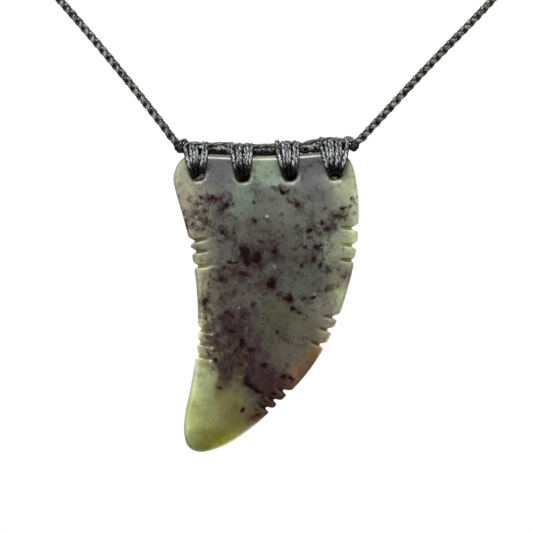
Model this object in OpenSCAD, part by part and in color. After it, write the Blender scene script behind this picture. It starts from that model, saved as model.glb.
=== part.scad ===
// Greenstone tooth pendant on a plaited cord.
// A flat carved stone hangs from the middle of the cord, held by four thread lashings.
// Sizes are millimetres. Z is up, X runs to the viewer's right and Y runs from the front of the stone to its back.
// The origin is the point where the clasp rests on the nape, and the stone hangs below and in front of it.

/* [Stone] */
// Thickness of the stone from face to face
stone_t = 5; // [4.6:0.1:5.4]
// How far the rounded rim reaches in from the outline
rim_in = 0.9; // [0.6:0.1:1]
// How far the rounded rim reaches down from each face
rim_deep = 1.6; // [1:0.1:2]

/* [Notches] */
// Width of a face groove along its floor
groove_floor = 0.4; // [0.3:0.05:0.5]
// Width of a face groove where it is half the stone deep
groove_top = 1.2; // [1:0.1:1.4]
// Radius at the bottom of a notch in the outline
notch_r = 0.3; // [0.2:0.05:0.35]

/* [Holes] */
// Diameter of the four lashing holes
hole_d = 2.5; // [2.4:0.1:2.8]
// Diameter of the countersinks at the two faces
sink_d = 3.4; // [3.2:0.1:3.6]
// Depth of each countersink
sink_deep = 0.5; // [0.3:0.1:0.6]

/* [Cord] */
// Diameter of the plaited neck cord
cord_d = 1.7; // [1.5:0.1:1.7]
// Diameter of the lashing thread
thread_d = 0.8; // [0.7:0.05:0.8]
// Gap between pieces that touch each other
fit = 0.1; // [0.08:0.01:0.12]
// Diameter of the knots at the two upper corners
knot_d = 3.2; // [2.8:0.1:3.4]

/* [Clasp] */
// Length of the barrel clasp
clasp_l = 12; // [11:0.5:14]
// Diameter of the barrel clasp
clasp_d = 5; // [4.6:0.1:5]

/* [Hidden] */

STONE_COLOR = "#666A60";
THREAD_COLOR = "#2B2A2C";
CORD_COLOR = "#232325";
CLASP_COLOR = "#3A3A3D";

// The middle of the stone's top edge, in the necklace's frame
STONE_AT = [0, -118, -113];

// The stone's outline as [x, z], clockwise from the left end of its top edge
OUTLINE = [
    [-13.6, 0.3], [-8.0, 0.2], [0.0, 0.0], [8.0, 0.5], [13.4, 0.8], [15.6, 0.4],
    [17.0, -1.2], [17.8, -3.8], [18.4, -8.0], [18.5, -13.0], [18.0, -19.0],
    [16.6, -25.6], [14.4, -32.4], [11.2, -39.0], [7.4, -44.4], [3.0, -48.9],
    [-1.8, -53.4], [-6.6, -56.9], [-10.6, -58.7], [-13.6, -59.1], [-15.4, -58.2],
    [-16.3, -55.8], [-16.2, -52.2], [-15.1, -46.6], [-14.1, -40.6], [-13.6, -33.0],
    [-13.9, -26.0], [-14.9, -19.0], [-16.6, -12.0], [-18.0, -7.2], [-18.5, -4.6],
    [-18.1, -2.6], [-17.2, -1.0], [-16.1, -0.1]
];
OUTLINE_STEPS = 3;
// The outline point at the upper left corner, from which the two sides of a face run down to meet at the tip
CORNER = 33;
RIM_ANGLES = [0, 30, 60, 90];

// Each notch as [x, z, heading inward in degrees, cut into the outline, reach of the face groove, mouth width]
NOTCHES = [
    [-15.2, -17.1, 10, 0.9, 4.5, 1.7],
    [-14.8, -19.1, 2, 0.9, 3.9, 1.4],
    [-14.4, -22.0, 1, 0.9, 4.3, 1.4],
    [-13.6, -34.5, -15, 0.6, 3.7, 1.3],
    [-13.7, -37.1, -18, 0.6, 3.8, 1.3],
    [-13.9, -39.6, -20, 0.5, 3.8, 1.3],
    [18.5, -14.4, 180, 1.3, 4.1, 1.7],
    [18.2, -17.9, 177, 1.0, 3.9, 1.6],
    [17.8, -20.9, 176, 0.8, 3.9, 1.5],
    [14.5, -32.3, 173, 1.2, 3.7, 1.5],
    [13.4, -34.9, 170, 1.2, 3.5, 1.5],
    [11.8, -38.0, 162, 1.1, 3.6, 1.4],
    [4.5, -47.4, 154, 1.2, 2.9, 1.3],
    [2.6, -49.3, 151, 1.2, 2.9, 1.2],
    [0.9, -50.8, 153, 1.1, 3.4, 1.1]
];
NOTCH_OUT = 1.5;

// Each lashing as [hole x, hole z, x of the bundle's middle over the cord, width of the bundle over the cord]
LASHINGS = [
    [-13.6, -3.7, -13.9, 5.0],
    [-4.6, -4.0, -4.9, 4.6],
    [4.8, -3.8, 4.4, 5.0],
    [13.8, -3.5, 13.5, 6.0]
];
// Half width and half thickness of a bundle where it passes through its hole
BUNDLE_IN_HOLE = [1.05, 0.75];
BUNDLE_SIDES = 12;
// A bundle passes this much above the middle of its hole and turns up this far off the hole's lip
HOLE_RISE = 0.3;
LIP_CLEAR = 0.2;
// Half width that a bundle gains at the mouth of its hole, and the share of its spread at its arch's foot
MOUTH_SPREAD = 0.1;
FOOT_SPREAD = 0.55;
ARCH_STEPS = 6;
MOUTH_STEPS = 3;

// Height of the cord's middle over the top of the stone, as [x, rise]
CORD_RISE = [[-14, 1.4], [-7, 1.2], [0, 1.0], [7, 1.5], [14, 2.0]];

// The neck cord's route as [x, y, z, rings to the next point], from the clasp round the left side of the neck,
// along the stone's top edge and back round the right side
ROUTE = [
    [-2.5, 2.5, 0, 1],
    [-7, 2.5, 0, 2],
    [-21, 1, -1, 3],
    [-39, -8, -4, 3],
    [-55, -25, -10, 3],
    [-65, -46, -20, 3],
    [-68, -68, -35, 3],
    [-64, -90, -53, 3],
    [-54, -105, -68, 3],
    [-41, -113, -82, 2],
    [-30, -116.5, -95, 2],
    [-20.5, -118, -107, 2],
    [-18.3, -118, -109.9, 3],
    [-16.8, -118, -111.3, 1],
    [-14, -118, -111.6, 1],
    [-7, -118, -111.8, 1],
    [0, -118, -112, 1],
    [7, -118, -111.5, 1],
    [14, -118, -111, 1],
    [17, -118, -110.8, 3],
    [18.8, -118, -109.7, 2],
    [20.8, -118, -107.6, 2],
    [32, -116.5, -95.5, 2],
    [45, -113, -82, 3],
    [57, -105, -68, 3],
    [66, -90, -53, 3],
    [69, -68, -35, 3],
    [65, -46, -20, 3],
    [55, -25, -10, 3],
    [39, -8, -4, 3],
    [21, 1, -1, 2],
    [7, 2.5, 0, 1],
    [2.5, 2.5, 0, 0]
];
CORD_SIDES = 8;
// Square to the neck loop's mean plane, so no ring of the cord turns over
LOOP_NORMAL = [0, 0.68, -0.73];

// Each knot covers a stretch of the route, as [route point at its start, its end]
KNOT_LEFT = [11.35, 12.7];
KNOT_RIGHT = [19.3, 20.7];
KNOT_STEPS = 10;
KNOT_SIDES = 12;
KNOT_LOBES = 2;
KNOT_END_R = 1.3;

// Barrel clasp: depth of the cord in each end, and the groove round its middle
CLASP_SOCKET = 3.6;
CLASP_EDGE = 0.6;
CLASP_GROOVE = 0.25;

function unit(v) = v / norm(v);

// Direction of a smooth line through the points p at point i
function heading(p, i, closed) =
    let (n = len(p),
         a = closed ? p[(i + n - 1) % n] : p[max(i - 1, 0)],
         b = p[i % n],
         c = closed ? p[(i + 1) % n] : p[min(i + 1, n - 1)],
         before = norm(b - a),
         after = norm(c - b))
    before == 0 ? unit(c - b) :
    after == 0 ? unit(b - a) :
    unit((b - a) / before * after + (c - b) / after * before);

// The point at t, from 0 to 1, between points i and i + 1
function between(p, i, t, closed) =
    let (b = p[i % len(p)],
         c = p[(i + 1) % len(p)],
         reach = norm(c - b))
    (2 * t * t * t - 3 * t * t + 1) * b + (t * t * t - 2 * t * t + t) * reach * heading(p, i, closed)
    + (3 * t * t - 2 * t * t * t) * c + (t * t * t - t * t) * reach * heading(p, i + 1, closed);

// The point at s, which counts the points of p from 0
function at(p, s) = between(p, min(floor(s), len(p) - 2), s - min(floor(s), len(p) - 2), false);

function closed_line(p, steps) =
    [for (i = [0:len(p) - 1]) for (k = [0:steps - 1]) between(p, i, k / steps, true)];

// The direction of a row of ring centres at ring i
function run(c, i, closed) =
    let (n = len(c))
    closed ? unit(c[(i + 1) % n] - c[(i + n - 1) % n]) : unit(c[min(i + 1, n - 1)] - c[max(i - 1, 0)]);

// A ring of points round centre i, across the direction of travel, with half sizes [along side, along rise]
function ring(c, i, closed, normal, half, sides) =
    let (ahead = run(c, i, closed),
         side = unit(cross(ahead, normal)),
         rise = cross(side, ahead))
    [for (k = [0:sides - 1])
        let (a = 360 * (k + 0.5) / sides)
        c[i] + side * half[0] * cos(a) + rise * half[1] * sin(a)];

function joined(lists) = [for (l = lists) for (v = l) v];

// Faces that join rings of the same number of points, from ring 0 to ring rings - 1
function skin(rings, sides) =
    [for (i = [0:rings - 2]) for (k = [0:sides - 1])
        let (a = i * sides + k, b = i * sides + (k + 1) % sides)
        each [[a, b, b + sides], [a, b + sides, a + sides]]];

function ring_cap(first, sides, flip) =
    [for (k = [1:sides - 2]) flip ? [first, first + k + 1, first + k] : [first, first + k, first + k + 1]];

// A solid swept through an open row of centres
module sweep_open(c, halves, normal, sides) {
    n = len(c);
    points = joined([for (i = [0:n - 1]) ring(c, i, false, normal, halves[i], sides)]);
    caps = concat(ring_cap(0, sides, true), ring_cap((n - 1) * sides, sides, false));
    polyhedron(points, concat(skin(n, sides), caps));
}

// A ring-shaped solid swept through a closed row of centres
module sweep_closed(c, halves, normal, sides) {
    n = len(c);
    points = joined([for (i = [0:n - 1]) ring(c, i, true, normal, halves[i], sides)]);
    faces = [for (f = skin(n + 1, sides)) [for (v = f) v % (n * sides)]];
    polyhedron(points, faces);
}

// A sleeve round an open row of centres, with an outer and an inner radius
module sleeve(c, outer, inner, normal, sides) {
    n = len(c);
    outside = joined([for (i = [0:n - 1]) ring(c, i, false, normal, [outer[i], outer[i]], sides)]);
    inside = joined([for (i = [0:n - 1]) ring(c, i, false, normal, [inner, inner], sides)]);
    shift = n * sides;
    bore = [for (f = skin(n, sides)) [f[0] + shift, f[2] + shift, f[1] + shift]];
    last = (n - 1) * sides;
    ends = [for (k = [0:sides - 1])
        let (m = (k + 1) % sides)
        each [[k, k + shift, m + shift], [k, m + shift, m],
              [last + k, last + m, last + m + shift], [last + k, last + m + shift, last + k + shift]]];
    polyhedron(concat(outside, inside), concat(skin(n, sides), bore, ends));
}

// The outline moved inward by inset, as [x, z]
function inset_outline(line, inset) =
    [for (i = [0:len(line) - 1])
        let (ahead = run(line, i, true))
        line[i] + inset * [ahead[1], -ahead[0]]];

// Levels of the stone from its front face to its back, as [inset, y]
function rim_levels() =
    let (flat = stone_t / 2 - rim_deep)
    concat([for (a = RIM_ANGLES) [rim_in * (1 - cos(90 - a)), -flat - rim_deep * sin(90 - a)]],
           [for (a = RIM_ANGLES) [rim_in * (1 - cos(a)), flat + rim_deep * sin(a)]]);

// A face as strips between its two sides, from the corner at the top to the tip
function face_strips(first, n, start, flip) =
    [for (i = [0:n / 2 - 1])
        let (a = first + (start + i) % n,
             b = first + (start + i + 1) % n,
             c = first + (start + n - i - 1) % n,
             d = first + (start + n - i) % n)
        each [flip ? [a, c, b] : [a, b, c], flip ? [a, d, c] : [a, c, d]]];

module tooth_blank() {
    line = closed_line(OUTLINE, OUTLINE_STEPS);
    levels = rim_levels();
    n = len(line);
    points = joined([for (l = levels) [for (p = inset_outline(line, l[0])) [p[0], l[1], p[1]]]]);
    start = CORNER * OUTLINE_STEPS;
    polyhedron(points, concat(skin(len(levels), n),
                              face_strips(0, n, start, true),
                              face_strips((len(levels) - 1) * n, n, start, false)));
}

// What a file takes out of the outline: a notch with a round bottom, right through the stone
module notch_in_outline(cut, mouth) {
    bottom = cut - notch_r;
    open = mouth / 2 + NOTCH_OUT * (mouth / 2 - notch_r) / bottom;
    rotate([90, 0, 0])
        linear_extrude(height = stone_t + 2, center = true) {
            polygon([[bottom, -notch_r], [bottom, notch_r], [-NOTCH_OUT, open], [-NOTCH_OUT, -open]]);
            translate([bottom, 0])
                circle(r = notch_r, $fn = 24);
        }
}

// What a tilted file takes out of one face: deepest at the outline, run out at its reach
module groove_in_face(cut, reach) {
    half = stone_t / 2;
    slope = atan2(half, reach - cut);
    length = norm([half, reach - cut]);
    open = groove_floor / 2 + (groove_top - groove_floor) / 2 * (half + NOTCH_OUT * 2) / half;
    translate([cut, 0, 0])
        rotate([0, 0, -slope])
            translate([-NOTCH_OUT * 2, 0, 0])
                rotate([90, 0, 90])
                    linear_extrude(height = length + NOTCH_OUT * 2)
                        polygon([[0, -groove_floor / 2], [0, groove_floor / 2],
                                 [-half - NOTCH_OUT * 2, open], [-half - NOTCH_OUT * 2, -open]]);
}

module notch(n) {
    translate([n[0], 0, n[1]])
        rotate([0, -n[2], 0]) {
            notch_in_outline(n[3], n[5]);
            groove_in_face(n[3], n[4]);
            mirror([0, 1, 0])
                groove_in_face(n[3], n[4]);
        }
}

module hole(l) {
    past = 0.2;
    slope = (sink_d - hole_d) / 2 / sink_deep;
    translate([l[0], 0, l[1]])
        rotate([90, 0, 0]) {
            cylinder(h = stone_t + 2, d = hole_d, center = true, $fn = 48);
            for (face = [0, 1])
                mirror([0, 0, face])
                    translate([0, 0, stone_t / 2 - sink_deep])
                        cylinder(h = sink_deep + past, d1 = hole_d, d2 = sink_d + 2 * past * slope, $fn = 48);
        }
}

module tooth() {
    color(STONE_COLOR)
        translate(STONE_AT)
            difference() {
                tooth_blank();
                for (n = NOTCHES)
                    notch(n);
                for (l = LASHINGS)
                    hole(l);
            }
}

function place(r) = [r[0], r[1], r[2]];
function route_line() = [for (r = ROUTE) place(r)];

module neck_cord() {
    line = route_line();
    stretches = [for (i = [0:len(ROUTE) - 2])
        for (k = [0:ROUTE[i][3] - 1])
            between(line, i, k / ROUTE[i][3], false)];
    centres = concat(stretches, [line[len(line) - 1]]);
    half = cord_d / 2;
    color(CORD_COLOR)
        sweep_open(centres, [for (c = centres) [half, half]], LOOP_NORMAL, CORD_SIDES);
}

// A bundle's middle line beside the front face, as [y, z, half width, half thickness], from the middle of its
// hole, out at the front and up over the cord. The back is its mirror image.
function bundle_front(l) =
    let (face = stone_t / 2,
         w = BUNDLE_IN_HOLE[0],
         t = BUNDLE_IN_HOLE[1],
         half_w = l[3] / 2,
         half_t = thread_d / 2,
         hole_z = l[1] + HOLE_RISE,
         out = face + fit + t,
         up = lookup(l[2], CORD_RISE),
         peak = up + cord_d / 2 + 2 * fit + half_t,
         lip = l[1] + sink_d / 2,
         foot = up - cord_d / 2 - fit - rim_in)
    concat([[0, hole_z, w, t]],
           [for (k = [0:MOUTH_STEPS])
               let (a = 90 * k / MOUTH_STEPS, r = lip - hole_z + LIP_CLEAR)
               [-(out - r) - r * sin(a), hole_z + r * (1 - cos(a)), w + MOUTH_SPREAD * k / MOUTH_STEPS, t]],
           [for (k = [1:ARCH_STEPS])
               let (a = 90 * k / ARCH_STEPS,
                    rest = face + 2 * fit + half_t)
               [-rest * cos(a), foot + (peak - foot) * sin(a),
                w + (half_w - w) * (FOOT_SPREAD + (1 - FOOT_SPREAD) * sin(a)), half_t]]);

module lashing(l) {
    front = bundle_front(l);
    last = len(front) - 1;
    back = [for (k = [last - 1:-1:1]) [-front[k][0], front[k][1], front[k][2], front[k][3]]];
    whole = concat(front, back);
    low = l[1];
    high = front[last][1];
    centres = [for (b = whole)
        [l[0] + (l[2] - l[0]) * max(0, b[1] - low) / (high - low), b[0], b[1]]];
    color(THREAD_COLOR)
        translate(STONE_AT)
            sweep_closed(centres, [for (b = whole) [b[3], b[2]]], [1, 0, 0], BUNDLE_SIDES);
}

// A knot swells in lobes, one for each turn of the thread
module end_knot(span) {
    line = route_line();
    steps = [for (k = [0:KNOT_STEPS]) k / KNOT_STEPS];
    centres = [for (s = steps) at(line, span[0] + (span[1] - span[0]) * s)];
    outer = [for (s = steps) KNOT_END_R + (knot_d / 2 - KNOT_END_R) * abs(sin(180 * KNOT_LOBES * s))];
    color(THREAD_COLOR)
        sleeve(centres, outer, cord_d / 2 + 2 * fit, LOOP_NORMAL, KNOT_SIDES);
}

module nape_clasp() {
    r = clasp_d / 2;
    half = clasp_l / 2;
    color(CLASP_COLOR)
        translate([0, r, 0])
            rotate([0, 90, 0])
                difference() {
                    rotate_extrude($fn = 48)
                        polygon([[0, -half], [r - CLASP_EDGE, -half], [r, -half + CLASP_EDGE],
                                 [r, -CLASP_GROOVE], [r - CLASP_GROOVE, 0], [r, CLASP_GROOVE],
                                 [r, half - CLASP_EDGE], [r - CLASP_EDGE, half], [0, half]]);
                    for (end = [0, 1])
                        mirror([0, 0, end])
                            translate([0, 0, half - CLASP_SOCKET])
                                cylinder(h = CLASP_SOCKET + 1, d = cord_d + 2 * fit, $fn = 48);
                }
}

tooth();
neck_cord();
lashing(LASHINGS[0]);  // lashing_1
lashing(LASHINGS[1]);  // lashing_2
lashing(LASHINGS[2]);  // lashing_3
lashing(LASHINGS[3]);  // lashing_4
end_knot(KNOT_LEFT);  // end_knot_left
end_knot(KNOT_RIGHT);  // end_knot_right
nape_clasp();
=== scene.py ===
"""Greenstone tooth pendant: the polished stone, the plaited cord and the lashings that carry it."""
import math
import random

import bpy
import numpy as np
from bpy.props import FloatProperty, FloatVectorProperty, PointerProperty
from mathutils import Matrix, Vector, kdtree, noise


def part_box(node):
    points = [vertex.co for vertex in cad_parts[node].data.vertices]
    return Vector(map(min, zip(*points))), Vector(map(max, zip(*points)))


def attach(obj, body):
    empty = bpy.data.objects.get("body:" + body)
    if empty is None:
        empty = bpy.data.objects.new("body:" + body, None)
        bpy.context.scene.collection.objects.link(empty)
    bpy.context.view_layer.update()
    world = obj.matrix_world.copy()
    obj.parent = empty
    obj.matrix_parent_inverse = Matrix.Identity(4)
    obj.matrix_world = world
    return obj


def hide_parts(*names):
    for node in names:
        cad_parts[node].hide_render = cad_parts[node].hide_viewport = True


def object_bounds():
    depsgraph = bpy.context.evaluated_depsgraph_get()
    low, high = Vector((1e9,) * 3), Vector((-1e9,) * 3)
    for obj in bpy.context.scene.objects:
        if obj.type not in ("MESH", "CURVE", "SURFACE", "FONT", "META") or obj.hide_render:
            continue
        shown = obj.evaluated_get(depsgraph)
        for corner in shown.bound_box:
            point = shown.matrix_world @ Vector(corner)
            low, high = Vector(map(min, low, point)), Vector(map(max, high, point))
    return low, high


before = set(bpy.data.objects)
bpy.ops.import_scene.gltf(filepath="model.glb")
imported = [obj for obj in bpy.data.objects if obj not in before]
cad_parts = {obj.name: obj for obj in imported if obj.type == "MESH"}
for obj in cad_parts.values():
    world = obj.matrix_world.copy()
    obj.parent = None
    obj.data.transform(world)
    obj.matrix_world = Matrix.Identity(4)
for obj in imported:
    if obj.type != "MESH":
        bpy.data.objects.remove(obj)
CAD_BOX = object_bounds()

bl_info = {
    "name": "Greenstone Tooth Pendant",
    "version": (1, 0, 0),
    "blender": (4, 5, 0),
    "location": "3D View > Sidebar > Pendant",
    "description": "Finishes a carved greenstone tooth on its plaited and lashed cord",
    "category": "Add Mesh",
}

MM = 0.001

# The middle of the stone's top edge, in the necklace's frame
STONE_AT = Vector((0.0, -0.118, -0.113))
# Half the stone's thickness, and the radii of a hole's countersink and of the hole itself
STONE_FACE = 2.5 * MM
HOLE_SINK = 1.7 * MM
HOLE_RADIUS = 1.25 * MM

# The neck cord's route in metres, from the clasp round the left side of the neck, along the stone's top edge
# and back round the right side; the same points as in the part's source
ROUTE = [
    (-0.0025, 0.0025, 0.0),
    (-0.007, 0.0025, 0.0),
    (-0.021, 0.001, -0.001),
    (-0.039, -0.008, -0.004),
    (-0.055, -0.025, -0.010),
    (-0.065, -0.046, -0.020),
    (-0.068, -0.068, -0.035),
    (-0.064, -0.090, -0.053),
    (-0.054, -0.105, -0.068),
    (-0.041, -0.113, -0.082),
    (-0.030, -0.1165, -0.095),
    (-0.0205, -0.118, -0.107),
    (-0.0183, -0.118, -0.1099),
    (-0.0168, -0.118, -0.1113),
    (-0.014, -0.118, -0.1116),
    (-0.007, -0.118, -0.1118),
    (0.0, -0.118, -0.112),
    (0.007, -0.118, -0.1115),
    (0.014, -0.118, -0.111),
    (0.017, -0.118, -0.1108),
    (0.0188, -0.118, -0.1097),
    (0.0208, -0.118, -0.1076),
    (0.032, -0.1165, -0.0955),
    (0.045, -0.113, -0.082),
    (0.057, -0.105, -0.068),
    (0.066, -0.090, -0.053),
    (0.069, -0.068, -0.035),
    (0.065, -0.046, -0.020),
    (0.055, -0.025, -0.010),
    (0.039, -0.008, -0.004),
    (0.021, 0.001, -0.001),
    (0.007, 0.0025, 0.0),
    (0.0025, 0.0025, 0.0),
]
# Square to the neck loop's mean plane, so the plait is never turned over along its way
LOOP_NORMAL = (0.0, 0.68, -0.73)

# Each lashing as the middle of its hole [x, z], the places of its threads over the cord and how far it
# presses the cord down, all in millimetres, with places from the middle of the stone's top edge
LASHINGS = [
    ((-13.6, -3.7), (-16.1, -15.1, -14.4, -13.75, -12.5, -11.8), 0.2),
    ((-4.6, -4.0), (-6.85, -5.8, -5.15, -4.15, -3.55, -2.95), 0.22),
    ((4.8, -3.8), (2.25, 3.35, 4.0, 4.65, 5.65, 6.35), 0.0),
    ((13.8, -3.5), (11.0, 11.95, 12.65, 13.3, 14.15, 14.85, 16.2), 0.0),
]
# Height of the cord's middle over the top of the stone, in millimetres, at each of these places
CORD_RISE_AT = (-14.0, -7.0, 0.0, 7.0, 14.0)
CORD_RISE = (1.4, 1.2, 1.0, 1.5, 2.0)

# Each knot's two lobes, as the middles [x, z] of the upper and the lower one in millimetres
KNOT_LOBES = {
    "end_knot_left": ((-16.15, 2.6), (-17.4, 1.45)),
    "end_knot_right": ((16.5, 3.05), (17.75, 1.8)),
}
# The cord's size under the lashings over its size elsewhere
PRESSED = 0.9
# Where the cord lies slack between the lashings, as the place along the stone's top edge and the cord's
# lift, both in millimetres, and its size over its size elsewhere
SLACK = [(-9.4, -0.14, 1.22), (-0.3, -0.14, 1.22), (8.7, -0.06, 1.32)]
# Half the length of the cord's stretch on the stone, how far past its outermost threads a lashing presses the
# cord, and how far both take to fade, in millimetres
CREST_HALF = 17.5
CREST_FADE = 1.5
GRIP = 0.5
GRIP_FADE = 0.8
# How far the cord's underside lies above the stone's edge, and how far a thread stands off the stone's face
EDGE_GAP = 0.17 * MM
FACE_GAP = 0.04 * MM
# What each further layer of a bundle's threads adds: down in the hole, out at its mouth, out on the face and
# out over the cord
LAYER_DOWN = 0.42 * MM
LAYER_MOUTH = 0.4 * MM
LAYER_FACE = 0.22 * MM
LAYER_OVER = 0.1 * MM

# The seed of the slow noise that warps the stone's tints and stains
WARP_SEED = 2
# How steeply tints, stains and clouds fall off at their rims, as the power in the fall
TINT_FALL, STAIN_FALL, CLOUD_FALL = 2.6, 2.0, 1.6
# The stone's tints: name, x, z, half width, half height, turn in degrees, colour and strength, with places in
# millimetres from the middle of the top edge; each is laid over those before it
BODY_TINT = "#585953"
TINTS = [
    ("upper grey green", 0, -7, 16, 9, 0, "#646860", 0.9),
    ("lilac at the top left", -9.5, -3, 5, 4, 0, "#6A686C", 0.8),
    ("green at the top middle", -0.5, -2.6, 5, 3.2, 0, "#85937D", 0.9),
    ("blue green by the second hole", -4.6, -7.4, 2.4, 4.4, 8, "#697569", 0.8),
    ("lilac at the top right", 9, -3.5, 4.5, 4, 0, "#656468", 0.85),
    ("clear patch, upper right", 7.5, -11.5, 3.5, 2.5, 0, "#666B62", 0.8),
    ("clear patch, upper middle", 3, -5.2, 3, 1.8, 0, "#8E978F", 0.9),
    ("clear patch, top right", 9.9, -4.3, 1.3, 1.0, 0, "#737B74", 0.7),
    ("clear patch, right", 11.7, -6.1, 1.5, 1.1, 0, "#76807A", 0.7),
    ("clear patch by the second hole", -5.1, -7.2, 1.2, 1.5, 0, "#728074", 0.7),
    ("upper left corner", -17, -5, 4.2, 6, 10, "#9FA184", 0.9),
    ("upper left edge", -16, -12, 3, 6, 12, "#9A9281", 0.85),
    ("left edge", -13.2, -24.0, 3.4, 5.5, -4, "#979879", 0.95),
    ("left edge, purple", -12.6, -29.5, 1.6, 2.6, 0, "#786A5A", 0.85),
    ("lower left edge", -14, -34, 1.5, 8, 0, "#A3A781", 0.85),
    ("upper right corner", 17, -5.5, 4, 6, -6, "#A1A489", 0.9),
    ("right edge", 17.5, -18, 4.2, 7, 4, "#8F9778", 0.9),
    ("right edge below the notches", 16.3, -27.5, 3, 3.5, 15, "#9B9E78", 0.9),
    ("right edge, purple streak", 15.8, -24, 2.4, 1.6, 20, "#73635A", 0.8),
    ("clear, right of the middle", 13.4, -20.5, 2.4, 3.2, 0, "#7E8370", 0.7),
    ("blue green right of the middle", 9.5, -24, 4.2, 3.4, 0, "#4E534A", 0.9),
    ("centre", -1, -20, 7.5, 7, 0, "#4A4744", 0.8),
    ("green below the middle", 2.5, -32, 6.5, 6, 0, "#4E503F", 0.95),
    ("left of the middle, low", -7, -29.5, 5.0, 4.5, 0, "#4E4641", 0.85),
    ("right, between notch groups", 12.5, -33, 3.5, 4.5, 25, "#797363", 0.85),
    ("lower purple", -4.5, -40, 8.5, 7, -25, "#433637", 1.0),
    ("low middle, brownish green", 5, -38, 4.5, 4, 30, "#5C5647", 0.85),
    ("low middle, purple", 0.5, -46, 3.5, 2.5, -20, "#352426", 0.9),
    ("peach edge", 9.8, -39.8, 1.8, 3.6, -32, "#74522E", 0.92),
    ("peach edge, low", 7.0, -42.9, 1.6, 1.7, -40, "#5A3F29", 0.85),
    ("brown edge", 4.9, -45, 3.0, 1.8, 45, "#8A6444", 0.9),
    ("tip", -12.8, -48.5, 5.8, 8.5, -10, "#969B6A", 1.0),
    ("tip, olive on the right", -7.6, -47.8, 3.0, 4.6, -8, "#747044", 0.85),
    ("purple tongue into the tip", -8.0, -43.4, 2.4, 3.4, 0, "#41332F", 0.9),
    ("left side of the tip", -15.8, -47, 2.7, 10, -8, "#B4BB92", 0.9),
    ("tip, bright lime", -15.1, -51.2, 2.7, 3.8, 0, "#ADBA70", 0.85),
    ("tip, olive middle", -11.7, -53.4, 2.6, 2.6, 0, "#82864A", 0.75),
    ("tip, upper middle", -12.3, -45.8, 1.8, 2.4, 0, "#878F66", 0.7),
    ("tip, dark olive", -5.5, -52, 4.6, 4.0, 20, "#665D32", 0.95),
    ("foot of the tip", -10, -57, 6, 2.9, 12, "#6A681C", 0.95),
    ("right foot of the tip", -2, -51.5, 3, 2.2, 40, "#4A3A22", 0.9),
    ("brown teeth above the tip", 1.6, -48.5, 4.2, 2.4, 40, "#5A3A14", 0.95),
]

# The stone's clouds of purple brown mottling: x, z, half width, half height, turn in degrees and strength,
# which is below 0 where the stone is clear
CLOUDS = [
    (-10.1, -9.1, 4.2, 1.8, -8, 0.65), (-13.0, -12.5, 2.2, 3.0, 0, 0.65), (-8.0, -15.4, 3.0, 1.3, 0, 0.6),
    (-10.1, -12.9, 3.5, 3.0, 0, 0.4), (-15.9, -13.4, 1.3, 2.1, 12, 1.05), (-11.4, -36.2, 1.1, 2.6, 0, 0.6),
    (-14.7, -4.9, 1.2, 1.0, 0, 0.3), (-9.7, -2.4, 3.0, 1.4, 0, 0.35), (-2.9, -20.1, 3.6, 2.6, 0, 0.9),
    (1.7, -18.8, 1.5, 1.6, 0, 0.8), (-5.5, -23.8, 4.5, 2.6, 0, 0.6), (1.1, -25.1, 2.0, 1.6, 0, 0.7),
    (-8.8, -24.7, 1.8, 1.6, 0, 0.7), (8.8, -14.8, 2.2, 1.8, 0, 0.8), (12.6, -14.2, 2.4, 2.2, 0, 0.6),
    (15.2, -11.2, 2.4, 1.5, 35, 0.8), (17.3, -8.7, 1.0, 1.2, 0, 0.55), (9.3, -18.8, 4.0, 2.6, 0, 0.65),
    (11.0, -21.7, 1.8, 1.2, -40, 0.8), (7.2, -21.7, 0.9, 0.9, 0, 0.6), (15.6, -24.3, 1.8, 1.4, 20, 0.45),
    (10.5, -10.0, 3.6, 2.2, 0, 0.2), (13.1, -27.4, 1.9, 1.6, 0, 0.35), (4.4, -28.3, 2.0, 1.3, -20, 0.9),
    (8.8, -28.1, 3.0, 1.4, 0, 0.55), (5.9, -31.0, 1.6, 0.8, -40, 0.7), (7.2, -30.6, 3.0, 2.0, 0, 0.35),
    (-12.2, -30.0, 1.4, 3.2, 0, 0.95), (-7.1, -34.0, 4.0, 2.4, 0, 0.6), (-10.2, -38.6, 1.9, 2.6, 0, 0.75),
    (-4.6, -38.6, 3.4, 2.4, 0, 0.65), (-6.3, -31.8, 4.5, 2.5, 0, 0.55), (-8.2, -43.4, 2.3, 2.8, 0, 0.75),
    (-3.4, -41.1, 4.0, 3.0, 0, 0.5), (-0.4, -41.9, 2.8, 1.6, 0, 0.7), (-2.5, -45.7, 2.6, 1.6, -35, 0.9),
    (0.9, -44.9, 3.4, 2.0, -20, 0.7), (2.5, -47.4, 2.6, 1.5, 40, 0.7), (-1.0, -49.6, 2.2, 1.7, 40, 1.0),
    (4.6, -44.1, 2.2, 1.2, 45, 0.7), (9.3, -2.0, 3.2, 1.6, 0, 0.4), (8.8, -6.2, 2.4, 2.0, 0, 0.15),
    (3.4, -7.0, 2.6, 1.0, -35, 0.6), (5.9, -9.7, 1.8, 0.9, -40, 0.7), (-2.1, -12.9, 0.8, 0.8, 0, 0.5),
    (-5.6, -36.6, 3.2, 4.2, -20, 0.2), (3.6, -38.0, 6.0, 4.0, 0, 0.2), (1.8, -48.4, 4.2, 1.6, 40, 0.9),
    (0.0, -14.0, 14.0, 7.0, 0, 0.2), (0.0, -27.0, 12.0, 8.0, 0, 0.22), (-13.2, -52.2, 3.8, 5.0, -10, -0.6),
]

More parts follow.
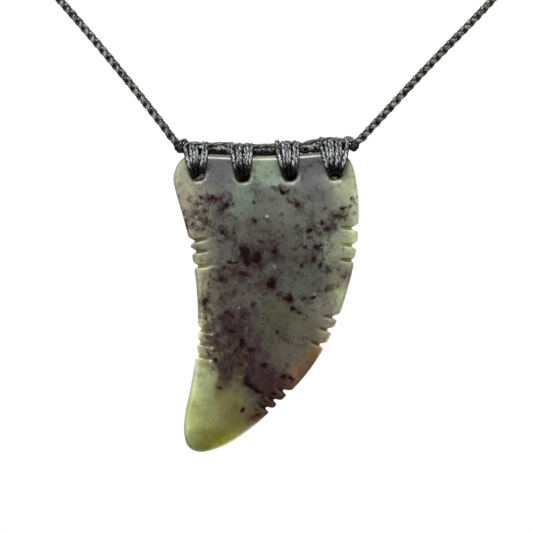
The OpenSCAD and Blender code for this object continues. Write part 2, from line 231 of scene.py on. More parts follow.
# The stone's dark stains, in the same way
STAINS = [
    (-17.8, -4.1, 0.4, 0.5, 0, 0.5), (-11.3, -2.5, 0.4, 0.6, 0, 0.7), (-6.4, -5.0, 0.4, 0.6, 0, 0.7),
    (-8.6, -6.2, 0.5, 0.3, 0, 0.55), (-2.3, -3.1, 0.5, 0.45, 0, 0.55), (-10.7, -8.3, 0.6, 0.8, 0, 1.05),
    (-13.2, -8.6, 0.9, 0.4, -8, 0.9), (-11.8, -8.8, 0.8, 0.4, 0, 0.7), (-9.3, -8.6, 0.8, 0.6, 0, 0.65),
    (-7.8, -9.9, 0.85, 0.6, 0, 1.3), (-6.6, -9.6, 0.4, 0.45, 0, 1.0), (-8.7, -10.8, 0.6, 0.5, 0, 0.8),
    (-12.3, -11.0, 0.9, 0.45, 40, 0.85), (-13.1, -9.9, 0.7, 0.4, 0, 0.6), (-16.2, -11.1, 0.6, 0.8, 0, 0.95),
    (-15.6, -12.9, 0.4, 0.8, 0, 0.7), (-14.8, -14.0, 0.4, 0.9, 0, 0.95), (-12.0, -13.0, 0.4, 0.7, 20, 1.0),
    (-12.7, -14.7, 0.4, 0.4, 0, 1.1), (-2.5, -9.6, 0.5, 0.55, 0, 1.0), (-2.1, -13.1, 0.5, 0.65, -30, 1.2),
    (-8.0, -14.6, 0.6, 0.55, 0, 0.85), (-8.8, -15.3, 0.6, 0.4, 0, 1.15), (-8.0, -16.0, 0.4, 0.4, 0, 1.15),
    (-6.1, -15.3, 0.6, 0.3, -12, 1.0), (-1.1, -7.3, 0.35, 0.6, 0, 0.7), (-0.8, -8.9, 0.35, 0.6, 0, 0.7),
    (1.4, -6.2, 0.8, 0.4, -30, 0.7), (2.4, -6.9, 0.6, 0.3, -40, 0.65), (3.0, -7.6, 0.75, 0.5, -15, 1.25),
    (4.1, -7.4, 0.75, 0.35, 20, 0.85), (4.8, -9.2, 0.75, 0.4, -35, 0.95), (6.1, -10.1, 0.7, 0.55, 30, 1.15),
    (6.9, -3.9, 0.45, 0.55, 0, 0.95), (8.4, -2.0, 1.5, 0.5, 0, 0.5), (6.1, -13.9, 0.3, 0.3, 0, 0.9),
    (7.5, -14.2, 0.35, 0.35, 0, 0.85), (8.9, -14.9, 0.7, 0.65, 0, 1.55), (6.2, -15.5, 0.35, 0.55, 0, 0.85),
    (2.5, -15.2, 0.4, 0.55, 0, 0.85), (11.3, -13.3, 0.45, 0.6, 0, 1.2), (12.5, -14.6, 0.75, 0.7, 0, 1.2),
    (10.7, -15.5, 0.3, 0.5, 0, 0.85), (11.7, -10.6, 1.0, 0.6, 0, 0.7), (14.2, -12.2, 0.85, 0.65, -30, 1.2),
    (15.2, -10.4, 0.6, 0.45, 0, 1.05), (16.5, -10.4, 0.35, 0.8, 0, 0.8), (17.3, -8.6, 0.4, 0.7, 15, 0.85),
    (16.6, -8.4, 0.3, 0.35, 0, 0.8), (15.4, -12.2, 0.7, 0.4, 20, 0.75), (17.8, -5.6, 0.25, 0.55, 20, 0.6),
    (8.4, -16.3, 0.45, 0.35, 0, 0.95), (-1.2, -17.2, 0.65, 0.45, 0, 1.0), (1.7, -19.0, 0.65, 1.1, 20, 1.4),
    (8.0, -18.3, 1.2, 0.35, -30, 0.95), (9.9, -18.4, 0.9, 0.9, 0, 0.85), (11.3, -17.9, 1.1, 0.3, 15, 0.8),
    (11.3, -19.3, 0.3, 0.9, 0, 0.8), (9.7, -20.7, 0.6, 0.6, 0, 1.2), (11.1, -21.7, 0.45, 1.0, -25, 1.15),
    (12.4, -23.1, 0.6, 0.45, 0, 0.8), (6.8, -22.1, 0.5, 0.55, 0, 1.35), (6.4, -23.6, 0.4, 0.7, 0, 0.6),
    (14.2, -22.6, 0.4, 0.5, 0, 0.9), (15.3, -24.3, 0.7, 0.7, 0, 0.5), (16.6, -23.5, 0.45, 0.45, 0, 0.55),
    (0.9, -25.3, 1.0, 1.2, 0, 1.4), (-5.1, -18.3, 0.65, 0.65, 0, 1.1), (-4.1, -19.4, 0.9, 1.6, -12, 1.7),
    (-1.8, -20.4, 1.2, 1.3, 0, 1.7), (-3.6, -21.4, 0.85, 0.7, 0, 1.1), (-6.7, -21.3, 1.0, 0.5, 0, 1.25),
    (-8.3, -22.4, 0.5, 0.4, 0, 1.05), (-5.0, -23.4, 0.6, 0.6, 0, 1.1), (-3.7, -23.9, 0.8, 0.5, -40, 1.0),
    (-9.1, -24.8, 0.7, 0.7, 0, 1.25), (-7.9, -25.2, 0.4, 0.65, 0, 0.85), (-1.8, -25.6, 0.35, 0.35, 0, 1.1),
    (-4.6, -27.4, 0.35, 0.35, 0, 1.0), (-12.5, -29.4, 0.8, 1.5, 0, 0.9), (-9.0, -28.2, 0.6, 0.4, 0, 0.7),
    (-2.6, -29.6, 0.6, 0.8, 0, 0.85), (12.3, -26.9, 0.5, 0.65, 0, 1.0), (4.5, -28.3, 1.1, 0.85, -10, 1.5),
    (2.4, -27.6, 0.45, 0.4, 0, 1.0), (8.0, -28.4, 0.65, 0.55, 0, 1.0), (9.6, -28.3, 0.45, 0.35, 0, 1.05),
    (5.4, -30.6, 0.6, 0.55, 0, 1.3), (6.5, -31.4, 0.55, 0.3, -20, 1.15), (8.2, -32.3, 0.35, 0.3, 0, 0.9),
    (-12.3, -32.4, 0.4, 0.9, 0, 0.8), (-7.6, -31.5, 0.75, 0.6, 0, 0.8), (-6.5, -32.3, 0.6, 0.75, 0, 0.9),
    (-4.3, -32.5, 1.1, 0.4, 0, 1.1), (-6.8, -35.1, 0.75, 0.8, 0, 1.2), (-4.9, -36.5, 0.6, 0.8, 0, 1.2),
    (-4.8, -37.8, 0.65, 0.55, 0, 1.2), (-2.9, -38.8, 1.1, 0.55, -20, 1.25),
    (-4.2, -40.3, 0.75, 0.65, 0, 0.9), (-0.3, -41.5, 0.9, 0.6, 0, 1.15), (-2.3, -42.5, 0.95, 0.35, -10, 1.2),
    (-0.5, -43.1, 0.65, 0.35, -20, 1.0), (-3.7, -44.8, 0.6, 1.0, 0, 1.7),
    (-2.6, -46.1, 0.95, 0.55, -40, 1.5), (-1.3, -46.9, 1.1, 0.4, -25, 1.3), (-0.7, -47.9, 0.4, 0.35, 0, 1.2),
    (1.4, -47.6, 0.95, 0.45, 0, 1.2), (0.5, -49.2, 0.9, 0.6, 35, 1.5), (-10.0, -40.6, 0.6, 0.6, 0, 1.2),
    (-8.0, -40.8, 0.4, 0.35, 0, 1.0), (-7.1, -42.9, 0.35, 0.8, -20, 1.0), (-8.9, -46.2, 0.45, 0.55, 0, 1.15),
    (-6.9, -45.8, 0.35, 0.35, 0, 0.9), (-4.8, -50.6, 0.5, 0.75, -30, 1.45), (-10.9, -37.3, 0.8, 0.7, 0, 0.8),
    (-11.1, -39.4, 0.7, 0.6, 0, 0.75), (-8.2, -34.2, 0.6, 0.5, 0, 0.75), (-8.9, -32.7, 0.5, 0.45, 0, 0.9),
    (-9.4, -35.9, 0.5, 0.6, 0, 0.8), (-5.9, -33.9, 0.5, 0.6, 0, 0.9), (-6.0, -39.0, 0.5, 0.8, 0, 0.9),
    (-7.2, -37.4, 0.45, 0.6, 0, 0.75), (-5.3, -41.9, 0.5, 0.7, 0, 0.9), (2.0, -35.0, 0.38, 0.45, 0, 1.35),
    (4.3, -36.8, 0.3, 0.35, 0, 0.7), (5.0, -44.1, 0.35, 0.35, 0, 1.2), (3.4, -44.2, 1.5, 0.6, 25, 0.9),
    (-1.9, -51.4, 0.7, 0.5, 0, 1.1), (-13.0, -51.8, 4.2, 5.6, -10, -0.4),
]

# Where more light than elsewhere comes through the stone, in the same way; a strength below 0 is less light
GLOW = [
    (18.6, -13.5, 1.8, 13.0, 0, 1.7), (15.0, -31.4, 1.9, 7.0, -25, 1.1), (11.8, -37.8, 1.8, 3.0, -35, 1.2),
    (-13.4, -37.6, 3.2, 5.0, 0, 1.9), (-6.2, -55.8, 6.5, 0.9, 31, 1.8), (2.2, -47.8, 5.8, 2.2, 40, -0.6),
]

# Painted glints: tiny bright specks, in the same way
PAINTED_GLINTS = [
    (0.2, -12.1, 0.22, 0.2, 0, 1.0), (1.7, -22.1, 0.15, 0.35, 20, 0.45), (9.7, -27.6, 0.25, 0.2, 0, 0.35),
    (-6.8, -10.8, 0.2, 0.2, 0, 0.25), (-5.4, -30.3, 0.15, 0.15, 0, 0.5), (-3.9, -34.4, 0.12, 0.12, 0, 0.4),
]

# A thread's plies: their number, how far each one's middle is off the thread's and its radius, both as
# shares of the thread's thickness, the length of one step along it and the sides of its section
PLIES = 3
PLY_OFFSET = 0.18
PLY_RADIUS = 0.32
PLY_STEP = 0.2 * MM
PLY_SIDES = 7
# How the fibres of every laid thread are stretched: turns of the noise along each millimetre and round it
THREAD_FIBRE = (0.9, 6.3)

# Sockets of a Mix node that mixes colours
MIX_FACTOR, MIX_A, MIX_B, MIX_RESULT = 0, 6, 7, 2


def linear(hex_colour):
    """An sRGB hex colour as linear red, green, blue and alpha."""
    values = [int(hex_colour[i:i + 2], 16) / 255 for i in (1, 3, 5)]
    return tuple(v / 12.92 if v <= 0.04045 else ((v + 0.055) / 1.055) ** 2.4 for v in values) + (1.0,)


def colour_property(name, description, hex_colour):
    return FloatVectorProperty(name=name, description=description, subtype="COLOR", size=4, min=0, max=1,
                               default=linear(hex_colour))


def length_property(name, description, millimetres, low, high):
    return FloatProperty(name=name, description=description, default=millimetres * MM, min=low * MM,
                         max=high * MM, unit="LENGTH", precision=5)


class StoneSettings(bpy.types.PropertyGroup):
    grain: length_property("Mesh grain", "Spacing of the points of the carved surface", 0.22, 0.15, 1)
    crown: length_property("Crown", "How far each face swells at its middle", 0.22, 0, 0.6)
    crown_reach: length_property("Crown reach", "How far in from the rim the face still rises", 7, 1, 15)
    pillow: length_property("Pillow", "How far each edge falls away", 0.17, 0, 0.4)
    pillow_reach: length_property("Pillow reach", "How far in from its edge a face falls away", 1.3, 0.3, 4)
    roughness: FloatProperty(name="Roughness", description="How soft the polish is", default=0.24, min=0,
                             max=1)
    mottle: colour_property("Mottling", "Purple brown of the clouds", "#2F1A1D")
    fringe: colour_property("Stain fringe", "Wine brown round each dark stain", "#2F1519")
    core: colour_property("Stain core", "Near black middle of each stain", "#0E0205")
    # Painted glints: the colour of the tiny bright specks painted on the stone
    crystal: colour_property("Crystals", "Tiny bright grains", "#C9CCC2")
    # Painted light: the rim is painted lighter where light comes through the thin edge, at the sides and,
    # greyer, along the top bevel under the cord
    rim_side: colour_property("Rim at the sides", "Thin edge that lets light through", "#E2E2C0")
    rim_top: colour_property("Rim at the top", "Bevel under the cord", "#8C8990")
    # Painted light: the cuts are painted in this warm, lighter cast of the stone, for light that comes
    # through it into their shade, and the outer edges get it as a painted highlight
    cut: colour_property("Cuts", "Warm cast of the paler stone in the cuts and on worn edges", "#DDD3A4")
    # Partly ground, matt stone and partly a painted highlight: only the lower side of each countersink gets
    # it
    frost_and_highlight: colour_property("Countersinks", "Ground but hardly polished stone round the holes", "#B5BBAE")
    # Partly old wax and partly painted shade: the bore and the inner part of its countersink are painted dark
    # brown
    bore_wax_and_shade: colour_property("Bore wall", "Wax rubbed off the threads inside the holes", "#4A3416")


class CordSettings(bpy.types.PropertyGroup):
    diameter: length_property("Cord diameter", "Width of the plait", 1.7, 1, 3)
    turn: length_property("Turn", "Length in which a strand goes once round", 4.0, 2, 8)
    wax: colour_property("Waxed strand", "Black dyed cord under its wax", "#060607")
    # Partly worn wax and partly painted sheen on the crowns of the strands
    bloom_and_sheen: colour_property("Wax bloom", "Grey where the wax is rubbed", "#9D9C98")


class LashingSettings(bpy.types.PropertyGroup):
    thickness: length_property("Thread thickness", "Width of the lashing thread", 1.0, 0.4, 1.5)
    running: length_property("Running thread", "Width of the thread along the crest", 0.85, 0.4, 1.5)
    twist: length_property("Twist", "Length of one full turn of the plies", 3.2, 1, 8)
    thread: colour_property("Thread", "Dark thread under its wax", "#060607")
    worn: colour_property("Worn thread", "Greenish grey of the thread along the crest", "#242522")
    # Partly worn wax and partly painted sheen on the crowns of the plies
    bloom_and_sheen: colour_property("Rubbed thread", "Cool grey on the crowns of the plies", "#C6C7CA")
    frayed: colour_property("Frayed end", "Undyed heart of the thread", "#C2BDA4")
    frayed_dark: colour_property("Dark frayed end", "Fibres at the cut ends that kept their dye", "#2E2B22")
    # Partly worn wax and partly painted sheen on the plies of the running thread, and of the knots
    worn_bloom_and_sheen: colour_property("Rubbed worn thread", "Greenish grey on its plies", "#8F9288")
    knot_bloom_and_sheen: colour_property("Rubbed knots", "Dark grey on the knots' plies", "#444547")
    old_wax: colour_property("Old wax", "Brown wax on the threads at the foot of the holes", "#4A2C12")


class ClaspSettings(bpy.types.PropertyGroup):
    metal: colour_property("Blackened brass", "Dark skin of the barrel", "#3A3632")
    worn: colour_property("Worn brass", "Bare metal on the edges", "#8C7346")


class StageSettings(bpy.types.PropertyGroup):
    distance: length_property("Camera distance", "From the camera to the stone's middle", 600, 200, 2000)
    width: length_property("View width", "Width of the picture at the stone", 106.6, 50, 400)
    drop: length_property("Floor depth", "From the necklace's lowest point to the floor", 430, 10, 1000)
    paper: colour_property("Paper", "White studio paper", "#FFFFFF")


def deselect():
    for thing in bpy.context.selected_objects:
        thing.select_set(False)


def make_active(thing):
    deselect()
    thing.select_set(True)
    bpy.context.view_layer.objects.active = thing


def apply_modifier(thing, kind, **settings):
    """Adds a modifier with its settings and applies it."""
    make_active(thing)
    bpy.ops.object.modifier_add(type=kind)
    added = thing.modifiers[-1]
    for name, value in settings.items():
        setattr(added, name, value)
    bpy.ops.object.modifier_apply(modifier=added.name)


def edit_all(*steps):
    """Runs edit mode operators on all of the active mesh, each given with its settings."""
    bpy.ops.object.mode_set(mode="EDIT")
    bpy.ops.mesh.select_all(action="SELECT")
    for operator, settings in steps:
        operator(**settings)
    bpy.ops.object.mode_set(mode="OBJECT")


def wire(tree, node, inputs):
    """Sets or links a node's sockets, given by name or number, or as a row in their own order."""
    for socket, value in inputs.items() if isinstance(inputs, dict) else enumerate(inputs):
        if isinstance(value, bpy.types.NodeSocket):
            tree.links.new(value, node.inputs[socket])
        else:
            node.inputs[socket].default_value = value


def add_node(tree, kind, output, inputs=(), **settings):
    """Adds a shader node with its settings and links, and gives back one of its output sockets."""
    made = tree.nodes.new("ShaderNode" + kind)
    for name, value in settings.items():
        setattr(made, name, value)
    wire(tree, made, inputs)
    return made.outputs[output]


def new_material(name):
    """A material with a Principled surface, as the material, its node tree and that surface."""
    made = bpy.data.materials.new(name)
    made.use_nodes = True
    return made, made.node_tree, made.node_tree.nodes["Principled BSDF"]


def finish_piece(piece, material, slot, *nodes):
    """Gives a piece its material, and says what it rides on and the nodes that it stands for; its finish, the
    slot, is not used.
    """
    piece.data.materials.clear()
    piece.data.materials.append(material)
    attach(piece, "root")
    if nodes:
        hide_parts(*nodes)


def polished_nephrite(settings):
    """Nephrite, ground and hand polished: a waxy gloss over colour that lies just under the surface."""
    made, tree, surface = new_material("Polished nephrite")
    place = add_node(tree, "TexCoord", "Object")
    tint, rim_tint = (add_node(tree, "Attribute", "Color", attribute_name=name)
                      for name in ("tint", "rim_tint"))
    clouds, stain, crystals, cavity, rim, bore, sink = (
        add_node(tree, "Attribute", "Fac", attribute_name=name)
        for name in ("clouds", "stain", "crystals", "cavity", "rim", "bore", "sink"))

    # Each noise as the size of its features in millimetres, its detail and its roughness
    sizes = {
        "cloud": (4.0, 3.0, 0.55),
        "grain": (0.4, 4.0, 0.7),
        "mottle": (1.5, 6.0, 0.68),
        "stain": (1.1, 6.0, 0.68),
        "fleck": (0.6, 2.0, 0.5),
        "frost_and_highlight": (0.8, 4.0, 0.55),
        "gloss": (3.0, 3.0, 0.55),
        "waves": (2.5, 3.0, 0.55),
    }
    noises = {name: add_node(tree, "TexNoise", "Fac", {"Vector": place, "Scale": 1 / (size * MM),
                                                       "Detail": detail, "Roughness": rough})
              for name, (size, detail, rough) in sizes.items()}

    # Clouds and stains are broken up at about a millimetre, by this much of a noise round its mean
    mottled, stained = (
        add_node(tree, "Math", 0, (add_node(tree, "Math", 0, (noises[name], 0.5), operation="SUBTRACT"),
                                   strength, cover), operation="MULTIPLY_ADD")
        for name, strength, cover in (("mottle", 5.2, clouds), ("stain", 3.2, stain)))
    flecked = add_node(tree, "Math", 0, (clouds, 0.1, noises["fleck"]), operation="MULTIPLY_ADD")

    # Each share as the value that it follows, the range in which it changes and the share at both ends of it
    ranges = {
        "cloud": (noises["cloud"], 0.3, 0.7, 0.88, 1.12),
        "grain": (noises["grain"], 0.3, 0.7, 0.87, 1.13),
        "mottle": (mottled, 0.15, 1.4, 0.0, 0.84),
        "fringe": (stained, 0.2, 0.85, 0.0, 0.75),
        "core": (stained, 0.65, 1.2, 0.0, 0.96),
        "fleck": (flecked, 0.62, 0.78, 0.0, 0.6),
        # Painted light in the cuts, and a painted highlight on the outer edges
        "cut": (cavity, 0.1, 0.7, 0.0, 0.85),
        "worn": (cavity, -0.75, -0.2, 0.14, 0.0),
        "frost_and_highlight": (noises["frost_and_highlight"], 0.4, 0.6, 0.0, 1.0),
        "gloss": (noises["gloss"], 0.3, 0.7, settings.roughness - 0.05, settings.roughness + 0.06),
        "worn matt": (cavity, -0.8, -0.1, 0.16, 0.0),
    }
    shares = {name: add_node(tree, "MapRange", 0, row, interpolation_type="SMOOTHSTEP")
              for name, row in ranges.items()}

    # Slow clouds and a fine grain keep the body from looking dyed
    shade = add_node(tree, "Math", 0, (shares["cloud"], shares["grain"]), operation="MULTIPLY")
    body = add_node(tree, "VectorMath", 0, {0: tint, "Scale": shade}, operation="SCALE")
    # Painted light: the stone in the cuts is painted three times lighter than its tint, with a warm cast, for
    # light that comes through it into their shade; the outer edges get the same colour as a painted highlight
    warm = add_node(tree, "Mix", MIX_RESULT, {MIX_FACTOR: 1.0, MIX_A: tint, MIX_B: settings.cut},
                    data_type="RGBA", blend_type="MULTIPLY")
    painted_light_tint = add_node(tree, "VectorMath", 0, {0: warm, "Scale": 3.0}, operation="SCALE")
    frosted_and_lit = add_node(tree, "Math", 0, (sink, shares["frost_and_highlight"]), operation="MULTIPLY")
    # What lies over the body, from the bottom up: the rim's painted light, purple brown mottling, the stains'
    # wine fringes and near black cores, flecks, painted glints, the painted light in the cuts and the painted
    # highlight on the outer edges, the countersinks' ground stone with its painted highlight on their lower
    # side, and the bores' old wax with painted shade
    for share, colour in (
            (rim, rim_tint), (shares["mottle"], settings.mottle), (shares["fringe"], settings.fringe),
            (shares["core"], settings.core), (shares["fleck"], settings.fringe), (crystals, settings.crystal),
            (shares["cut"], painted_light_tint), (shares["worn"], painted_light_tint), (frosted_and_lit, settings.frost_and_highlight),
            (bore, settings.bore_wax_and_shade)):
        body = add_node(tree, "Mix", MIX_RESULT, {MIX_FACTOR: share, MIX_A: body, MIX_B: colour},
                        data_type="RGBA")

    # Countersinks and bores are hardly polished, and worn edges a little less than the faces
    polish = shares["gloss"]
    for value, matt in ((sink, 0.35), (bore, 0.4), (shares["worn matt"], 1.0)):
        polish = add_node(tree, "Math", 0, (value, matt, polish), operation="MULTIPLY_ADD")
    waves = add_node(tree, "Bump", 0, {"Height": noises["waves"], "Strength": 0.5, "Distance": 0.03 * MM})
    wire(tree, surface, {
        "Base Color": body, "Roughness": polish, "Normal": waves, "IOR": 1.61, "Specular IOR Level": 0.42,
        "Subsurface Weight": 0.35, "Subsurface Radius": (1.0, 1.1, 0.8), "Subsurface Scale": 0.9 * MM,
    })
    return made


def waxed_strand(name, dark, bloom_and_sheen, fibre, rough, gleam=0.6, bands=(0.72, 1.0), least=0.3, painted_shade_below=None,
                 foot=None):
    """Waxed polyester strand, plaited or twisted: black in its hollows, grey with hard glints on its crowns.

    The grey on the crowns is partly worn wax and partly a painted sheen. It grows from none to full between
    the two values of the crown in bands, and its faintest patches keep the share least. With deep, painted
    shade keeps the strand black below two heights, and the grey grows so between them. With foot, two heights
    and a colour, old wax clings to the strand below them. Heights are in millimetres from the stone's top
    edge."""
    made, tree, surface = new_material(name)
    place = add_node(tree, "TexCoord", "Object")
    along = add_node(tree, "Mapping", 0, {"Vector": add_node(tree, "UVMap", 0), "Scale": (*fibre, 1.0)})
    fibres = add_node(tree, "TexNoise", "Fac", {"Vector": along, "Scale": 1.0, "Detail": 2.0})
    patches = add_node(tree, "TexNoise", "Fac", {"Vector": place, "Scale": 1 / (0.8 * MM), "Detail": 3.0,
                                                 "Roughness": 0.55})
    height = add_node(tree, "SeparateXYZ", "Z", (place,))

    # Each share as the value that it follows, the range in which it changes and the share at both ends of it
    ranges = [
        (add_node(tree, "Attribute", "Fac", attribute_name="crown"), *bands, 0.0, 1.0),
        (fibres, 0.35, 0.62, 0.1, 1.0),
        (patches, 0.35, 0.62, least, 1.0),
    ]
    if painted_shade_below:
        # The limit of the painted shade wanders by so many millimetres with a noise, whose mean is half of
        # that
        wander = 5.0
        limit = add_node(tree, "TexNoise", "Fac", {"Vector": place, "Scale": 1 / (1.3 * MM), "Detail": 2.0,
                                                   "Roughness": 0.55})
        ragged = add_node(tree, "Math", 0, (limit, wander * MM, height), operation="MULTIPLY_ADD")
        ranges.append((ragged, *(STONE_AT.z + (level + wander / 2) * MM for level in painted_shade_below), 0.0, 1.0))
    rubbed_and_lit, *others = (add_node(tree, "MapRange", 0, row, interpolation_type="SMOOTHSTEP") for row in ranges)
    for share in others:
        rubbed_and_lit = add_node(tree, "Math", 0, (rubbed_and_lit, share), operation="MULTIPLY")
    shade = add_node(tree, "Mix", MIX_RESULT, {MIX_FACTOR: rubbed_and_lit, MIX_A: dark, MIX_B: bloom_and_sheen},
                     data_type="RGBA")
    if foot:
        low, high, wax = foot
        row = (height, STONE_AT.z + low * MM, STONE_AT.z + high * MM, 1.0, 0.0)
        clinging = add_node(tree, "MapRange", 0, row, interpolation_type="SMOOTHSTEP")
        shade = add_node(tree, "Mix", MIX_RESULT, {MIX_FACTOR: clinging, MIX_A: shade, MIX_B: wax},
                         data_type="RGBA")
    gloss = add_node(tree, "MapRange", 0, (patches, 0.35, 0.65, rough - 0.05, rough + 0.1),
                     interpolation_type="SMOOTHSTEP")
    relief = add_node(tree, "Bump", 0, {"Height": fibres, "Strength": 0.35, "Distance": 0.05 * MM})
    wire(tree, surface, {"Base Color": shade, "Roughness": gloss, "Normal": relief, "IOR": 1.45,
                         "Specular IOR Level": gleam})
    return made


def blackened_brass(settings):
    """Brass, turned and chemically blackened: a dark satin skin that is worn to metal on its high places."""
    made, tree, surface = new_material("Blackened brass")
    place = add_node(tree, "TexCoord", "Object")
    patches = add_node(tree, "TexNoise", "Fac", {"Vector": place, "Scale": 1 / (1.6 * MM), "Detail": 5.0,
                                                 "Roughness": 0.6})
    wear = add_node(tree, "MapRange", 0, (patches, 0.55, 0.72, 0.0, 1.0), interpolation_type="SMOOTHSTEP")
    gloss = add_node(tree, "MapRange", 0, (wear, 0.0, 1.0, 0.42, 0.3), interpolation_type="SMOOTHSTEP")
    share = add_node(tree, "Math", 0, (wear, 0.5), operation="MULTIPLY")
    shade = add_node(tree, "Mix", MIX_RESULT,
                     {MIX_FACTOR: share, MIX_A: settings.metal, MIX_B: settings.worn}, data_type="RGBA")
    # Turning lines, drawn 2.2 mm apart so that they show: the node's wave turns by 20 radians in a metre
    turned = add_node(tree, "TexWave", "Fac", {"Vector": place, "Scale": 2 * math.pi / (2.2 * MM) / 20,
                                               "Distortion": 0.4}, bands_direction="X")
    relief = add_node(tree, "Bump", 0, {"Height": turned, "Strength": 0.3, "Distance": 0.01 * MM})
    wire(tree, surface, {"Base Color": shade, "Roughness": gloss, "Normal": relief, "Metallic": 1.0})
    return made


def studio_paper(settings):
    """Matt white studio paper, lit to pure white."""
    made, tree, surface = new_material("Studio paper")
    pulp = add_node(tree, "TexNoise", "Fac", {"Vector": add_node(tree, "TexCoord", "Object"),
                                              "Scale": 1 / (8.0 * MM), "Detail": 3.0, "Roughness": 0.55})
    fibre = add_node(tree, "MapRange", 0, (pulp, 0.3, 0.7, 0.97, 1.0), interpolation_type="SMOOTHSTEP")
    shade = add_node(tree, "VectorMath", 0, {0: settings.paper[:3], "Scale": fibre}, operation="SCALE")
    wire(tree, surface, {"Base Color": shade, "Roughness": 0.9, "Specular IOR Level": 0.1,
                         "Emission Color": settings.paper, "Emission Strength": 0.9})
    return made


def unit(v):
    return v / np.maximum(np.linalg.norm(v, axis=-1, keepdims=True), 1e-12)


def heading(p, i):
    """Direction of the smooth line through the points p at point i, as the part's source draws it."""
    a, b, c = p[max(i - 1, 0)], p[i], p[min(i + 1, len(p) - 1)]
    before, after = np.linalg.norm(b - a), np.linalg.norm(c - b)
    if before == 0:
        return unit(c - b)
    if after == 0:
        return unit(b - a)
    return unit((b - a) / before * after + (c - b) / after * before)


def hermite(t, start, start_slope, end, end_slope):
    """The place at the share t of a smooth curve between two points with the given slopes."""
    return ((2 * t ** 3 - 3 * t ** 2 + 1) * start + (t ** 3 - 2 * t ** 2 + t) * start_slope
            + (3 * t ** 2 - 2 * t ** 3) * end + (t ** 3 - t ** 2) * end_slope)


def at(p, s):
    """The place on the smooth line through the points p at s, which counts the points from 0."""
    i = min(int(s), len(p) - 2)
    reach = np.linalg.norm(p[i + 1] - p[i])
    return hermite(s - i, p[i], reach * heading(p, i), p[i + 1], reach * heading(p, i + 1))


def line_through(points, steps):
    """The smooth line through the points, with so many steps from each point to the next."""
    p = np.array(points)
    return np.array([at(p, s) for s in np.linspace(0, len(p) - 1, (len(p) - 1) * steps + 1)])


def even_line(points, step, closed=False):
    """Points at even steps along a row of points, and how far along the row each one lies."""
    p = np.vstack([points, points[:1]]) if closed else np.asarray(points)
    along = np.concatenate([[0], np.cumsum(np.linalg.norm(np.diff(p, axis=0), axis=1))])
    count = max(int(round(along[-1] / step)), 4)
    s = np.linspace(0, along[-1], count + 1)
    if closed:
        s = s[:-1]
    return np.stack([np.interp(s, along, p[:, k]) for k in range(3)], axis=1), s


def directions(line, closed=False):
    """The direction of travel at each point of a line."""
    if closed:
        return unit(np.roll(line, -1, axis=0) - np.roll(line, 1, axis=0))
    return unit(np.gradient(line, axis=0))


def across(ahead, normal):
    """Two directions square to the direction of travel: to the side, and to the rise."""
    side = unit(np.cross(ahead, normal))
    return side, np.cross(side, ahead)


def tube(rings, closed=False, heart=None, reach=1.0, outward=None):
    """Vertices, faces, UVs and crown of a tube through rings of points.

    The UVs are in metres along the tube and turns round it. The crown says how far out each point lies from
    the heart line of its cord, over the given reach: in any direction, or only in the outward one."""
    count, sides = rings.shape[:2]
    vertices = rings.reshape(-1, 3)
    crown = np.ones(len(vertices))
    if heart is not None:
        off = rings - heart[:, None]
        out = np.linalg.norm(off, axis=2) if outward is None else (off * outward[:, None]).sum(axis=2)
        crown = out.ravel() / reach
    middle = rings.mean(axis=1)
    along = np.concatenate([[0], np.cumsum(np.linalg.norm(np.diff(middle, axis=0), axis=1))])
    along = np.append(along, along[-1] + np.linalg.norm(middle[0] - middle[-1]))
    faces, uvs = [], []
    for i in range(count if closed else count - 1):
        a, b = i * sides, ((i + 1) % count) * sides
        for k in range(sides):
            m = (k + 1) % sides
            faces.append((a + k, a + m, b + m, b + k))
            uvs += [(along[i], k / sides), (along[i], (k + 1) / sides),
                    (along[i + 1], (k + 1) / sides), (along[i + 1], k / sides)]
    if not closed:
        for cap in (range(sides - 1, -1, -1), range((count - 1) * sides, count * sides)):
            faces.append(tuple(cap))
            uvs += [(0.0, 0.0)] * sides
    return vertices, faces, uvs, crown


def object_from(name, tubes):
    """One smooth mesh object from several tubes, each as its vertices, faces, UVs and crown."""
    vertices, faces, uvs, crowns = [], [], [], []
    for v, f, t, c in tubes:
        shift = len(vertices)
        vertices += v.tolist()
        faces += [tuple(k + shift for k in face) for face in f]
        uvs += t
        crowns += c.tolist()
    mesh = bpy.data.meshes.new(name)
    mesh.from_pydata(vertices, [], faces)
    layer = mesh.uv_layers.new(name="along")
    layer.data.foreach_set("uv", np.array([(u / MM, v) for u, v in uvs], dtype=np.float32).ravel())
    mesh.attributes.new("crown", "FLOAT", "POINT").data.foreach_set("value", crowns)
    mesh.polygons.foreach_set("use_smooth", [True] * len(faces))
    mesh.validate()
    made = bpy.data.objects.new(name, mesh)
    bpy.context.scene.collection.objects.link(made)
    make_active(made)
    edit_all((bpy.ops.mesh.normals_make_consistent, {"inside": False}))
    return made


def rings_round(line, side, rise, wide, high, sides):
    """Rings of points round a line, with half sizes to the side and to the rise."""
    angle = 2 * np.pi * (np.arange(sides) + 0.5) / sides
    wide = np.broadcast_to(np.asarray(wide, float), len(line))
    high = np.broadcast_to(np.asarray(high, float), len(line))
    return (line[:, None] + side[:, None] * (wide[:, None] * np.cos(angle))[..., None]
            + rise[:, None] * (high[:, None] * np.sin(angle))[..., None])


